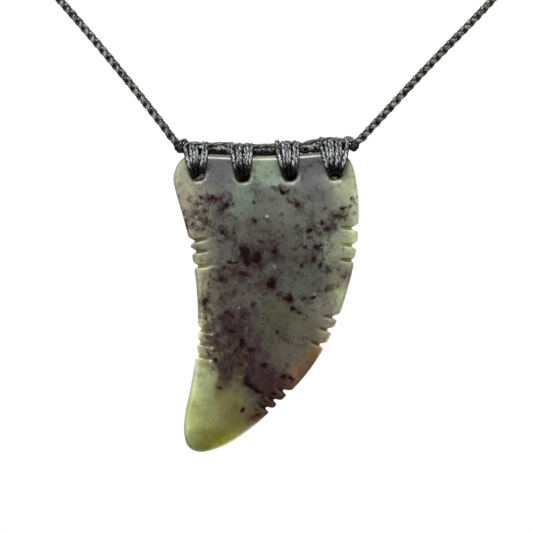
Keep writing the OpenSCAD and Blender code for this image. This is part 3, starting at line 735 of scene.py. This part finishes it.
def laid_thread(points, normal, twist, thickness, closed=False, start=0.0, ridge=False):
    """The plies of a waxed twisted thread along a row of points, as tubes pressed into each other.

    A thread with a ridge gets its grey, partly worn wax and partly painted sheen, only along its outer side."""
    line, s = even_line(points, PLY_STEP, closed)
    normal = np.asarray(normal, float)
    if normal.ndim == 2:
        source = np.linspace(0, 1, len(normal))
        where = np.linspace(0, 1, len(line))
        normal = np.stack([np.interp(where, source, normal[:, k]) for k in range(3)], axis=1)
    side, rise = across(directions(line, closed), normal)
    length = s[-1] + (s[1] - s[0]) if closed else s[-1]
    turns = max(round(length / twist), 1) if closed else length / twist
    made = []
    for k in range(PLIES):
        angle = start + 2 * np.pi * k / PLIES + 2 * np.pi * turns * s / length
        offset = side * np.cos(angle)[:, None] + rise * np.sin(angle)[:, None]
        centre = line + offset * PLY_OFFSET * thickness
        own_side, own_rise = across(directions(centre, closed), normal)
        radius = PLY_RADIUS * thickness
        rings = rings_round(centre, own_side, own_rise, radius, radius, PLY_SIDES)
        made.append(tube(rings, closed, line, thickness / 2, -side if ridge else None))
    return made


def stone_field(x, z, rows, power):
    """Each row's weight at the given places, which is the row's strength at its middle and fades to 0."""
    for cx, cz, half_w, half_h, turn, strength in rows:
        c, s = math.cos(math.radians(turn)), math.sin(math.radians(turn))
        u = ((x - cx) * c + (z - cz) * s) / half_w
        v = (-(x - cx) * s + (z - cz) * c) / half_h
        yield strength * np.exp(-np.hypot(u, v) ** power)


def glow(x, z):
    """How much more light than elsewhere comes through the stone at the given places."""
    return sum(stone_field(x, z, GLOW, TINT_FALL))


def store(mesh, kind, **layers):
    """Keeps values or colours for each point of a mesh, under the names by which its material reads them."""
    for name, values in layers.items():
        layer = mesh.attributes.new(name, kind, "POINT")
        layer.data.foreach_set("value" if kind == "FLOAT" else "color", values.astype(np.float32).ravel())


def smoothed(values, edges, rounds):
    """Values averaged with their neighbours along the mesh's edges, several times over."""
    count = len(values)
    shares = np.bincount(edges.ravel(), minlength=count)[:, None]
    for _ in range(rounds):
        total = np.stack([np.bincount(edges[:, 0], values[edges[:, 1], k], count)
                          + np.bincount(edges[:, 1], values[edges[:, 0], k], count)
                          for k in range(values.shape[1])], axis=1)
        values = 0.5 * values + 0.5 * total / shares
    return values


class PENDANT_OT_stone(bpy.types.Operator):
    """Finish the carved stone: softened rims and notches, crowned faces, and its tints and stains"""
    bl_idname = "pendant.stone"
    bl_label = "Greenstone Tooth"

    # Rounds of averaging that find the cuts and the outer edges, and how far a point moves in a full cut
    CUT_ROUNDS = 14
    CUT_DEPTH = 0.12 * MM
    # The most that the normal of a wall leans to the front or the back
    WALL_LEAN = 0.4
    # How far in from the face the lit rim starts, how much further it is full, and how strong it is: where no
    # more light comes through than elsewhere, and for each unit of glow
    RIM_START = 0.15 * MM
    RIM_FADE = 0.7 * MM
    RIM_LIGHT = (0.3, 0.6)
    # The waxed bore, painted dark brown also as the shade inside the hole: how far out from the hole's middle
    # it ends, the width of its edge and its strength
    BORE_REACH, BORE_EDGE, BORE_WAX = 1.68 * MM, 0.3 * MM, 0.9
    # The ring of ground, matt stone round a countersink, painted only on its lower side as a painted
    # highlight where
    # light from above falls: its radius, half its width and its strength, how far over the hole's middle it
    # starts and how much lower it is full
    RING_RADIUS, RING_HALF, RING_FROST = 1.9 * MM, 0.35 * MM, 0.8
    RING_TOP, RING_FADE = 0.6 * MM, 1.2 * MM
    # The two noises that warp the colours: features to the millimetre, and reach in millimetres for the tints
    # and for the stains and clouds
    WARPS = ((0.22, 2.4, 0.45), (0.9, 0.7, 0.35))
    # The bevel under the cord in millimetres: how far down it reaches, half its length and its ends' fade
    BEVEL_DOWN, BEVEL_HALF, BEVEL_FADE = 3.0, 13.5, 3.0
    # What a unit of glow adds to the stone's tint, the share of the rim's own colour in the rim, and how many
    # times lighter than the stone the rest of it is: the last two with no glow, and for each unit of it
    GLOW_TINT = 0.45
    RIM_SHARE = (0.15, 0.25)
    RIM_LIFT = (1.5, 0.5)

    def execute(self, context):
        settings = context.scene.pendant_stone
        stone = bpy.data.objects.new("greenstone_tooth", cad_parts["tooth"].data.copy())
        context.scene.collection.objects.link(stone)
        make_active(stone)
        edit_all((bpy.ops.mesh.remove_doubles, {"threshold": 0.002 * MM}),
                 (bpy.ops.mesh.normals_make_consistent, {"inside": False}))
        apply_modifier(stone, "REMESH", mode="VOXEL", voxel_size=settings.grain, use_smooth_shade=True)
        apply_modifier(stone, "SMOOTH", factor=0.5, iterations=6)
        if len(stone.data.vertices) < 1000:
            raise RuntimeError("the stone's surface could not be rebuilt")
        mesh = stone.data
        co, normals = np.empty((2, len(mesh.vertices), 3), np.float32)
        mesh.vertices.foreach_get("co", co.ravel())
        mesh.vertex_normals.foreach_get("vector", normals.ravel())
        co, normals = co.astype(float), normals.astype(float)
        self.mark(mesh, co, normals)
        self.crown(mesh, co, normals, settings)
        self.stain(mesh, settings)
        finish_piece(stone, polished_nephrite(settings), "greenstone", "tooth")
        return {"FINISHED"}

    def mark(self, mesh, co, normals):
        """Marks cuts and outer edges for their painted light, the rim, the bores and their countersinks."""
        edges = np.empty(len(mesh.edges) * 2, np.int32)
        mesh.edges.foreach_get("vertices", edges)
        moved = smoothed(co, edges.reshape(-1, 2), self.CUT_ROUNDS) - co
        cavity = (moved * normals).sum(axis=1) / self.CUT_DEPTH
        inside = STONE_FACE - self.RIM_START - np.abs(co[:, 1] - STONE_AT.y)
        dull, bright = self.RIM_LIGHT
        rim = np.clip(inside / self.RIM_FADE, 0, 1)
        rim *= dull + bright * glow(co[:, 0] / MM, (co[:, 2] - STONE_AT.z) / MM)
        bore, sink = np.zeros((2, len(co)))
        for (x, z), _, _ in LASHINGS:
            away = np.hypot(co[:, 0] - x * MM, co[:, 2] - STONE_AT.z - z * MM)
            bore += np.clip((self.BORE_REACH - away) / self.BORE_EDGE, 0, 1) * self.BORE_WAX
            ring = np.clip(1 - np.abs(away - self.RING_RADIUS) / self.RING_HALF, 0, 1)
            # Painted highlight: only the ring's lower side, which faces the light from above
            below = np.clip((STONE_AT.z + z * MM + self.RING_TOP - co[:, 2]) / self.RING_FADE, 0, 1)
            sink += ring * below * self.RING_FROST
        store(mesh, "FLOAT", cavity=cavity, rim=rim, bore=bore, sink=sink)

    def crown(self, mesh, co, normals, settings):
        """Lets each face swell a little from its rim, and fall away at its edges."""
        walls = np.nonzero(np.abs(normals[:, 1]) < self.WALL_LEAN)[0]
        tree = kdtree.KDTree(len(walls))
        for i in walls:
            tree.insert((co[i, 0], 0, co[i, 2]), int(i))
        tree.balance()
        inward = np.array([tree.find((p[0], 0, p[2]))[2] for p in co])
        rise = np.clip(inward / settings.crown_reach, 0, 1)
        fall = np.clip(inward / settings.pillow_reach, 0, 1)
        swell = settings.crown * (1 - (1 - rise) ** 2) - settings.pillow * (1 - fall) ** 2
        co[:, 1] += np.sign(co[:, 1] - STONE_AT.y) * swell * np.clip(np.abs(normals[:, 1]), 0, 1) ** 4
        mesh.vertices.foreach_set("co", co.astype(np.float32).ravel())
        mesh.update()

    def stain(self, mesh, settings):
        """Lays tints and stains on the stone, warped by a slow noise so that none has a drawn edge."""
        noise.seed_set(WARP_SEED)
        place = [(v.co - STONE_AT) / MM for v in mesh.vertices]
        warps = [np.array([noise.noise_vector(p * pace) for p in place]) for pace, _, _ in self.WARPS]
        x, _, z = np.array(place).T
        tint_at, stain_at = (
            (x + sum(warp[:, 0] * row[k] for warp, row in zip(warps, self.WARPS)),
             z + sum(warp[:, 2] * row[k] for warp, row in zip(warps, self.WARPS)))
            for k in (1, 2))
        tint = np.tile(np.array(linear(BODY_TINT)), (len(x), 1))
        rows = [row[1:6] + (row[7],) for row in TINTS]
        for row, weight in zip(TINTS, stone_field(*tint_at, rows, TINT_FALL)):
            tint += (np.array(linear(row[6])) - tint) * weight[:, None]
        more = glow(x, z)[:, None]
        tint *= 1 + self.GLOW_TINT * more
        top = np.clip((z + self.BEVEL_DOWN) / self.BEVEL_DOWN, 0, 1)
        top *= np.clip((self.BEVEL_HALF - np.abs(x)) / self.BEVEL_FADE, 0, 1)
        side = np.array(settings.rim_side)
        rim_tint = side + (np.array(settings.rim_top) - side) * top[:, None]
        share, lift = (base + per_glow * more for base, per_glow in (self.RIM_SHARE, self.RIM_LIFT))
        rim_tint = share * rim_tint + (1 - share) * tint * lift
        store(mesh, "FLOAT", stain=sum(stone_field(*stain_at, STAINS, STAIN_FALL)),
              clouds=sum(stone_field(*stain_at, CLOUDS, CLOUD_FALL)),
              crystals=sum(stone_field(x, z, PAINTED_GLINTS, STAIN_FALL)))
        store(mesh, "FLOAT_COLOR", tint=np.clip(tint, 0, 1), rim_tint=np.clip(rim_tint, 0, 1))


class PENDANT_OT_neck_cord(bpy.types.Operator):
    """Plait the neck cord from four waxed strands along its whole route"""
    bl_idname = "pendant.neck_cord"
    bl_label = "Plaited Neck Cord"

    STEP = 0.26 * MM
    SIDES = 8
    # Shares of the cord's diameter: how far out each strand's middle lies, how far it weaves in and out, and
    # its half sizes
    CORE = 0.245
    WEAVE = 0.075
    WIDE = 0.3
    HIGH = 0.2
    # The radius of the core that fills the plait, what it gains where the cord is pressed or slack, and the
    # size of the cord from which it counts as slack
    HEART = 0.33
    HEART_GAIN = 0.1
    SLACK_FROM = 1.1
    # How far the core sinks under the lashings, to close the gap over the stone
    FILL = 0.25 * MM
    # Turns the plait so that the eye falls between two of its columns
    FACING = 2.17

    def execute(self, context):
        settings = context.scene.pendant_cord
        line, s = even_line(line_through(ROUTE, 40), self.STEP)
        pressed, size, under = pressing(line[:, 0], line[:, 1])
        line[:, 2] -= pressed
        side, rise = across(directions(line), np.array(LOOP_NORMAL))
        turn = 2 * np.pi * s / settings.turn
        diameter = settings.diameter * size
        strands = []
        for k in range(4):
            way = 1 if k < 2 else -1
            angle = self.FACING + np.pi * (k % 2) + way * turn
            reach = diameter * (self.CORE + self.WEAVE * way * np.cos(2 * turn))
            out = side * np.cos(angle)[:, None] + rise * np.sin(angle)[:, None]
            centre = line + out * reach[:, None]
            wide, high = across(directions(centre), out)
            rings = rings_round(centre, wide, high, diameter * self.WIDE, diameter * self.HIGH, self.SIDES)
            strands.append(tube(rings, False, line, settings.diameter * (self.CORE + self.WEAVE + self.HIGH)))
        core = diameter * (self.HEART + self.HEART_GAIN * np.maximum(under, size > self.SLACK_FROM))
        low = line - np.array((0, 0, self.FILL)) * under[:, None]
        rings = rings_round(low, side, rise, core, core, self.SIDES)
        strands.append(tube(rings, False, low, settings.diameter))
        cord = object_from("plaited_neck_cord", strands)
        # Painted shade keeps the cord's lower side black below the heights given in deep
        material = waxed_strand("Waxed plaited cord", settings.wax, settings.bloom_and_sheen, fibre=(0.5, 7.0),
                                rough=0.3, gleam=0.4, bands=(0.77, 1.02), least=0.45, painted_shade_below=(0.7, 2.2))
        finish_piece(cord, material, "waxed_cord", "neck_cord")
        return {"FINISHED"}


def pressing(x, y):
    """How far the cord is pressed down at the given places, its size there, and where a lashing holds it."""
    x = np.asarray(x) / MM
    front = np.clip((CREST_HALF - np.abs(x)) / CREST_FADE, 0, 1) * (np.asarray(y) < STONE_AT.y + 2 * MM)
    places, lifts, sizes = zip(*SLACK)
    lift, swell = np.interp(x, places, lifts), np.interp(x, places, sizes)
    under, press = np.zeros_like(x), -lift
    for _, tops, depth in LASHINGS:
        middle, half = (tops[0] + tops[-1]) / 2, (tops[-1] - tops[0]) / 2
        share = np.clip((half + GRIP - np.abs(x - middle)) / GRIP_FADE, 0, 1)
        share = share * share * (3 - 2 * share)
        under += share
        press += share * (depth + lift)
    return front * press * MM, 1 + front * (swell - 1 + (PRESSED - swell) * under), front * under


def loop_round(hole, layer, cord_radius, thread, press):
    """Half of a lashing thread's path, from the middle of its hole up the face and over the cord.

    Each point is [y, z, spread] from the middle of the stone's top edge. The spread is 0 at the foot of the
    hole and 1 over the cord."""
    up = np.interp(hole[0] / MM, CORD_RISE_AT, CORD_RISE) * MM - press
    edge = up + press - cord_radius - EDGE_GAP
    start = hole[1] + 0.6 * MM - LAYER_DOWN * layer
    mouth = STONE_FACE + thread / 2 + FACE_GAP + LAYER_MOUTH * layer
    face = STONE_FACE + thread / 2 + FACE_GAP + LAYER_FACE * layer
    over = cord_radius * PRESSED + thread / 2 + LAYER_OVER * layer
    bend = hole[1] + HOLE_SINK - start + 0.1 * MM
    # Out of the hole in a quarter turn, up the face and over the stone's edge, and a quarter round the cord
    points = [(0.0, start - 0.2 * MM)]
    for a in np.radians(np.linspace(10, 90, 6)):
        points.append((-(mouth - bend) - bend * math.sin(a), start + bend * (1 - math.cos(a))))
    points.append((-face, edge - 1.1 * MM))
    points.append((-face + 0.7 * MM, edge - 0.35 * MM))
    points.append((-over - 0.3 * MM, up - 0.55 * MM))
    for a in np.radians(np.linspace(0, 90, 5)):
        points.append((-over * math.cos(a), up + over * math.sin(a)))
    # The bundle spreads from a little under the hole's middle, in full a little before the cord's top
    low, peak = hole[1] - 0.7 * MM, points[-1][1]
    return [(y, z, min(max((z - low) / (peak - low) / 0.8, 0.0), 1.0) ** 0.6) for y, z in points]


def smooth_loop(points, steps=6):
    """A closed smooth line through the points, as a spline with its slopes set by each point's neighbours."""
    p = np.asarray(points)
    slope = 0.5 * (np.roll(p, -1, axis=0) - np.roll(p, 1, axis=0))
    t = (np.arange(steps) / steps)[None, :, None]
    ends = (values[:, None] for values in (p, slope, np.roll(p, -1, axis=0), np.roll(slope, -1, axis=0)))
    return hermite(t, *ends).reshape(-1, 3)


class PENDANT_OT_lashings(bpy.types.Operator):
    """Lash the cord to the stone with loops of twisted thread through its four holes"""
    bl_idname = "pendant.lashings"
    bl_label = "Thread Lashings"

    # How far the outermost threads stand off the hole's middle, inside it
    INSIDE = 0.5 * MM
    # The layer in which each thread of a bundle lies where they crowd into the hole
    LAYERS = (2, 0, 1, 0, 1, 0, 2)
    # How far every other thread but the last lies over the hole's floor
    FLOOR_STEP = 0.3 * MM
    # Painted shade: how much less grey the threads are painted over the cord, for each millimetre of height
    SHADE = 0.13
    # Painted shade towards the holes: the height in millimetres below which a bundle's middle threads get the
    # least grey, how far above it they get it in full, and that least share
    DARK = -2.3
    DARK_FADE = 1.9
    LEAST = 0.42
    # How the threads differ by chance: sway over the cord and height of the foot's painted shade in
    # millimetres, and the bounds of the wear, the twist and the thickness, as shares
    SWAY = 0.06
    DARK_SWAY = 0.25
    WEAR = (0.86, 1.08)
    TWIST = (0.85, 1.2)
    THICKNESS = (0.94, 1.08)

    def execute(self, context):
        settings = context.scene.pendant_lashing
        cord = context.scene.pendant_cord
        material = waxed_strand("Waxed laid thread", settings.thread, settings.bloom_and_sheen, THREAD_FIBRE,
                                rough=0.22, gleam=0.55, bands=(0.42, 0.9),
                                foot=(-4.9, -4.3, settings.old_wax))
        chance = random.Random(7)
        for number, (hole, tops, press) in enumerate(LASHINGS, 1):
            hole = np.array(hole) * MM
            threads = []
            for k, top in enumerate(tops):
                # Where the thread lies in its bundle, from -1 to 1
                place = 2 * k / (len(tops) - 1) - 1
                foot_x = hole[0] + self.INSIDE * place
                half = loop_round(hole, self.LAYERS[k], cord.diameter / 2, settings.thickness, press * MM)
                # Deep in the hole the threads lie on its floor, so that no light comes through
                floor = math.sqrt((HOLE_RADIUS - settings.thickness / 2) ** 2 - (foot_x - hole[0]) ** 2)
                raised = self.FLOOR_STEP * (k % 2) * (k < len(tops) - 1)
                drop = half[1][1] - hole[1] + floor - raised
                points = []
                for face, rows in ((1, half), (-1, half[-2:0:-1])):
                    top_x = (top + face * chance.uniform(-self.SWAY, self.SWAY)) * MM
                    for y, z, spread in rows:
                        sag = drop * (face < 0 or y == 0) * min(max((hole[1] + HOLE_SINK - z) / MM, 0), 1)
                        points.append((foot_x + (top_x - foot_x) * spread, face * y, z - sag))
                line = smooth_loop(points) + np.array(STONE_AT)
                worn = chance.uniform(*self.WEAR)
                dark = self.DARK - abs(place) + chance.uniform(-self.DARK_SWAY, self.DARK_SWAY)
                twist = settings.twist * chance.uniform(*self.TWIST)
                thickness = settings.thickness * chance.uniform(*self.THICKNESS)
                for v, f, t, crown in laid_thread(line, (1, 0, 0), twist, thickness, closed=True,
                                                  start=chance.uniform(0, 2 * math.pi), ridge=True):
                    # Painted shade: less grey where they crowd into the hole, and a little less over the cord
                    height = (v[:, 2] - STONE_AT.z) / MM
                    lit = self.LEAST + (1 - self.LEAST) * np.clip((height - dark) / self.DARK_FADE, 0, 1)
                    shaded = 1 - self.SHADE * np.clip(height - 0.2, 0, 1.2)
                    threads.append((v, f, t, crown * worn * lit * shaded))
            bundle = object_from(f"lashing_thread_{number}", threads)
            finish_piece(bundle, material, "lashing_thread", f"lashing_{number}")
        return {"FINISHED"}


class PENDANT_OT_crest_thread(bpy.types.Operator):
    """Lay the running thread along the crest of the cord from knot to knot"""
    bl_idname = "pendant.crest_thread"
    bl_label = "Crest Thread"

    # Where the thread lies, as [x, y, z] in millimetres from the middle of the stone's top edge
    PATH = [
        (-16.6, -0.9, 2.0), (-15.4, -1.1, 2.36), (-14.2, -1.25, 2.42), (-13.0, -1.25, 2.38),
        (-11.8, -0.9, 2.3), (-10.8, -0.6, 2.3), (-9.5, -0.55, 2.38), (-8.1, -0.6, 2.42), (-7.0, -0.9, 2.32),
        (-5.8, -1.2, 2.12), (-4.5, -1.25, 2.03), (-3.3, -1.1, 1.99), (-1.6, -0.55, 2.0), (0.6, -0.55, 2.1),
        (2.0, -0.7, 2.14), (3.2, -1.0, 2.44), (4.2, -1.0, 2.52), (5.4, -1.0, 2.38), (6.4, -0.8, 2.2),
        (7.2, -0.55, 2.3), (8.2, -0.5, 2.6), (9.4, -0.55, 2.96), (10.6, -0.8, 3.12), (11.8, -1.0, 3.32),
        (13.0, -1.0, 3.36), (13.9, -1.05, 3.14), (14.9, -1.0, 3.08), (16.2, -0.8, 2.7),
    ]
    # The length of its turns over that of the lashings' turns
    SLOWER = 2.2

    def execute(self, context):
        settings = context.scene.pendant_lashing
        line = line_through(np.array(self.PATH) * MM, 8) + np.array(STONE_AT)
        plies = laid_thread(line, (0, 1, 0), settings.twist * self.SLOWER, settings.running)
        thread = object_from("crest_thread", plies)
        material = waxed_strand("Waxed running thread", settings.worn, settings.worn_bloom_and_sheen, THREAD_FIBRE,
                                rough=0.42, least=0.1)
        finish_piece(thread, material, "lashing_thread")
        return {"FINISHED"}


class PENDANT_OT_end_knots(bpy.types.Operator):
    """Tie the knots at the two upper corners, the right one with its frayed end"""
    bl_idname = "pendant.end_knots"
    bl_label = "End Knots"

    THICKNESS = 1.55 * MM
    TWIST = 3.4 * MM
    # How far a knot's two turns lie to each side of its middle where they pass its lobes, and how far they
    # belly to the front and the back
    STAGGER = 0.35 * MM
    BELLY = 0.95 * MM
    # The slant of the turns, in radians, and the number of points in each
    SLANT = 0.6
    POINTS = 48
    # The frayed ends, each as its root and tip [x, y, z] and its bow in millimetres, its number of fibres and
    # how clean the darkest of them is
    TUFTS = [
        ((15.4, -0.9, 3.15), (17.2, -1.2, 3.25), 0.3, 18, 0.75),
        ((-14.2, -1.5, -4.75), (-12.5, -2.2, -3.8), -0.15, 26, 0.93),
        ((13.0, -1.5, -4.15), (14.0, -2.2, -4.5), -0.05, 14, 0.93),
    ]
    # How far the fibres splay at the tip and lie apart at the root, a fibre's radius and its taper at the tip
    SPLAY = 0.35 * MM
    BUNDLE = 0.3 * MM
    FIBRE = 0.09 * MM
    TAPER = 0.6

    def execute(self, context):
        settings = context.scene.pendant_lashing
        material = waxed_strand("Waxed knot thread", settings.thread, settings.knot_bloom_and_sheen, THREAD_FIBRE,
                                rough=0.16, gleam=0.9, bands=(0.82, 1.02))
        front = np.array((0.0, -1.0, 0.0))
        for node, lobes in KNOT_LOBES.items():
            upper, lower = (np.array((x, 0.0, z)) * MM + np.array(STONE_AT) for x, z in lobes)
            middle, reach = (upper + lower) / 2, (upper - lower) / 2
            axis = unit(np.cross(front, reach))
            threads = []
            for shift in (-1, 1):
                phi = np.linspace(0, 2 * np.pi, self.POINTS, endpoint=False)
                line = (middle + reach * np.cos(phi)[:, None] + front * self.BELLY * np.sin(phi)[:, None]
                        + axis * shift * self.STAGGER * np.cos(phi + self.SLANT)[:, None])
                threads += laid_thread(line, axis, self.TWIST, self.THICKNESS, closed=True, start=shift)
            knot = object_from(f"{node}_thread", threads)
            finish_piece(knot, material, "lashing_thread", node)
        self.frayed_ends(settings)
        return {"FINISHED"}

    def frayed_ends(self, settings):
        """The thread's cut ends, on the right knot and in the first and last holes, splayed and paler."""
        chance = random.Random(3)
        fibres = []
        for root, tip, bow, count, clean in self.TUFTS:
            root, tip = (np.array(STONE_AT) + np.array(end) * MM for end in (root, tip))
            for _ in range(count):
                spread = np.array([chance.uniform(-self.SPLAY, self.SPLAY) for _ in range(3)])
                start = root + np.array([0, *(chance.uniform(-self.BUNDLE, self.BUNDLE) for _ in range(2))])
                rise = np.array([0, 0, bow * chance.uniform(0.6, 1.4)]) * MM
                t = np.linspace(0, 1, 9)[:, None]
                line = start * (1 - t) + (tip + spread) * t + rise * 4 * t * (1 - t)
                side, up = across(directions(line), np.array((0.0, 1.0, 0.0)))
                width = self.FIBRE * (1 - self.TAPER * t[:, 0] ** 2)
                v, f, uv, crown = tube(rings_round(line, side, up, width, width, 6))
                fibres.append((v, f, uv, crown * chance.uniform(clean, 1.05)))
        tuft = object_from("frayed_thread_ends", fibres)
        material = waxed_strand("Frayed thread end", settings.frayed_dark, settings.frayed, fibre=(1.0, 7.0),
                                rough=0.6, gleam=0.3, least=0.6)
        finish_piece(tuft, material, "lashing_thread")


class PENDANT_OT_clasp(bpy.types.Operator):
    """Turn the plain barrel clasp that rests on the nape"""
    bl_idname = "pendant.clasp"
    bl_label = "Barrel Clasp"

    # The sockets in its two ends that take the cord: radius and depth
    SOCKET = 0.95 * MM
    SOCKET_DEEP = 3.5 * MM
    # Half the width of the line where its halves meet, which is also its depth, and the width of all bevels
    GROOVE = 0.25 * MM
    BEVEL = 0.25 * MM
    SHARP = math.radians(35)

    def execute(self, context):
        settings = context.scene.pendant_clasp
        low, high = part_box("nape_clasp")
        middle = (low + high) / 2
        length, radius = high.x - low.x, (high.z - low.z) / 2
        deselect()
        bpy.ops.mesh.primitive_cylinder_add(vertices=64, radius=radius, depth=length, location=middle,
                                            rotation=(0, math.pi / 2, 0))
        barrel = context.active_object
        barrel.name = barrel.data.name = "barrel_clasp"
        bpy.ops.object.transform_apply(location=True, rotation=True, scale=True)
        for end in (-1, 1):
            bpy.ops.object.mode_set(mode="EDIT")
            bpy.ops.mesh.select_mode(type="FACE")
            bpy.ops.mesh.select_all(action="DESELECT")
            bpy.ops.object.mode_set(mode="OBJECT")
            for face in barrel.data.polygons:
                face.select = face.normal.x * end > 0.9 and len(face.vertices) > 8
            bpy.ops.object.mode_set(mode="EDIT")
            bpy.ops.mesh.inset(thickness=radius - self.SOCKET)
            inward = {"value": (-end * self.SOCKET_DEEP, 0, 0)}
            bpy.ops.mesh.extrude_region_move(TRANSFORM_OT_translate=inward)
            bpy.ops.object.mode_set(mode="OBJECT")
        self.groove(barrel, middle, radius)
        apply_modifier(barrel, "BEVEL", width=self.BEVEL, segments=3, limit_method="ANGLE",
                       angle_limit=self.SHARP)
        make_active(barrel)
        bpy.ops.object.shade_smooth_by_angle(angle=self.SHARP)
        finish_piece(barrel, blackened_brass(settings), "clasp_metal", "nape_clasp")
        return {"FINISHED"}

    def groove(self, barrel, middle, radius):
        """Cuts the line where the barrel's two halves meet."""
        make_active(barrel)
        for shift in (-self.GROOVE, 0.0, self.GROOVE):
            cut = {"plane_co": middle + Vector((shift, 0, 0)), "plane_no": (1, 0, 0)}
            edit_all((bpy.ops.mesh.bisect, cut))
        for vertex in barrel.data.vertices:
            away = Vector((0, vertex.co.y - middle.y, vertex.co.z - middle.z))
            if abs(vertex.co.x - middle.x) < 0.01 * MM and away.length > radius * 0.9:
                inward = away.normalized() * self.GROOVE
                vertex.co.y -= inward.y
                vertex.co.z -= inward.z


class PENDANT_OT_stage(bpy.types.Operator):
    """Set the white floor, the soft lights and the camera"""
    bl_idname = "pendant.stage"
    bl_label = "Stage"

    # Soft lights as name, place and side lengths in metres and power in watts, and what they all point at
    LIGHTS = [
        ("top softbox", (-0.08, -0.45, 0.35), (0.20, 0.12), 3.8),
        ("left softbox", (-0.62, -0.50, -0.02), (0.40, 0.50), 1.5),
        ("right softbox", (0.62, -0.50, -0.05), (0.40, 0.50), 1.1),
        ("back light", (0.0, 0.50, 0.15), (0.60, 0.40), 1.5),
    ]
    TARGET = Vector((0, -0.118, -0.14))
    # The side of the floor in metres, and where the camera looks, to the side and in height
    FLOOR = 1.1
    LOOK = (0.0001, -0.1351)
    # The room's light on matt surfaces, and in the polish
    ROOM = 0.25
    ROOM_IN_POLISH = 0.06

    def execute(self, context):
        settings = context.scene.pendant_stage
        scene = context.scene
        lowest = CAD_BOX[0].z - settings.drop
        deselect()
        bpy.ops.mesh.primitive_plane_add(size=self.FLOOR, location=(0, 0, lowest))
        floor = context.active_object
        floor.name = floor.data.name = "paper_floor"
        bpy.ops.object.transform_apply(location=True, rotation=True, scale=True)
        edit_all((bpy.ops.mesh.subdivide, {"number_cuts": 7}))
        floor.data.materials.append(studio_paper(settings))
        # The stone's lower edges would turn grey if the bright paper showed in their polish
        floor.visible_glossy = False
        for name, place, size, power in self.LIGHTS:
            lamp = bpy.data.lights.new(name, "AREA")
            lamp.shape = "RECTANGLE"
            lamp.size, lamp.size_y = size
            lamp.energy = power
            holder = bpy.data.objects.new(name, lamp)
            holder.location = place
            holder.rotation_euler = (self.TARGET - Vector(place)).to_track_quat("-Z", "Y").to_euler()
            holder.visible_camera = False
            scene.collection.objects.link(holder)
        self.white_room(scene)
        camera = bpy.data.cameras.new("camera")
        camera.sensor_width = 36.0
        camera.lens = camera.sensor_width * settings.distance / settings.width
        camera.clip_start = 0.01
        eye = bpy.data.objects.new("camera", camera)
        eye.location = (self.LOOK[0], STONE_AT.y - settings.distance, self.LOOK[1])
        eye.rotation_euler = (math.pi / 2, 0, 0)
        scene.collection.objects.link(eye)
        scene.camera = eye
        scene.view_settings.view_transform = "Standard"
        return {"FINISHED"}

    def white_room(self, scene):
        """The room is pure white to the eye, gives a weaker, even light and hardly shows in the polish."""
        world = bpy.data.worlds.new("white room")
        world.use_nodes = True
        tree = world.node_tree
        tree.nodes.clear()
        seen = add_node(tree, "Background", 0, {"Color": (1, 1, 1, 1), "Strength": 1.0})
        polished = add_node(tree, "LightPath", "Is Glossy Ray")
        strength = add_node(tree, "Math", 0, (polished, self.ROOM_IN_POLISH - self.ROOM, self.ROOM),
                            operation="MULTIPLY_ADD")
        lit = add_node(tree, "Background", 0, {"Color": (1, 1, 1, 1), "Strength": strength})
        choice = add_node(tree, "MixShader", 0, (add_node(tree, "LightPath", "Is Camera Ray"), lit, seen))
        wire(tree, tree.nodes.new("ShaderNodeOutputWorld"), {"Surface": choice})
        scene.world = world


class PENDANT_PT_pieces(bpy.types.Panel):
    """The pendant's pieces, each with its own button"""
    bl_idname = "PENDANT_PT_pieces"
    bl_label = "Greenstone Tooth Pendant"
    bl_space_type = "VIEW_3D"
    bl_region_type = "UI"
    bl_category = "Pendant"

    def draw(self, context):
        for name, operators in PIECES:
            box = self.layout.box()
            group = getattr(context.scene, name)
            for prop in group.__annotations__:
                box.prop(group, prop)
            for operator in operators:
                box.operator(operator)


# Each settings group with the operators that read it
PIECES = [
    ("pendant_stone", ["pendant.stone"]),
    ("pendant_cord", ["pendant.neck_cord"]),
    ("pendant_lashing", ["pendant.lashings", "pendant.crest_thread", "pendant.end_knots"]),
    ("pendant_clasp", ["pendant.clasp"]),
    ("pendant_stage", ["pendant.stage"]),
]
GROUPS = {
    "pendant_stone": StoneSettings,
    "pendant_cord": CordSettings,
    "pendant_lashing": LashingSettings,
    "pendant_clasp": ClaspSettings,
    "pendant_stage": StageSettings,
}
CLASSES = [
    *GROUPS.values(), PENDANT_OT_stone, PENDANT_OT_neck_cord, PENDANT_OT_lashings, PENDANT_OT_crest_thread,
    PENDANT_OT_end_knots, PENDANT_OT_clasp, PENDANT_OT_stage, PENDANT_PT_pieces,
]


def register():
    for made in CLASSES:
        bpy.utils.register_class(made)
    for name, group in GROUPS.items():
        setattr(bpy.types.Scene, name, PointerProperty(type=group))


def unregister():
    for name in GROUPS:
        delattr(bpy.types.Scene, name)
    for made in reversed(CLASSES):
        bpy.utils.unregister_class(made)


def main():
    register()
    bpy.ops.pendant.stage()
    bpy.ops.pendant.neck_cord()
    bpy.ops.pendant.stone()
    bpy.ops.pendant.lashings()
    bpy.ops.pendant.crest_thread()
    bpy.ops.pendant.end_knots()
    bpy.ops.pendant.clasp()


if __name__ == "__main__":
    main()
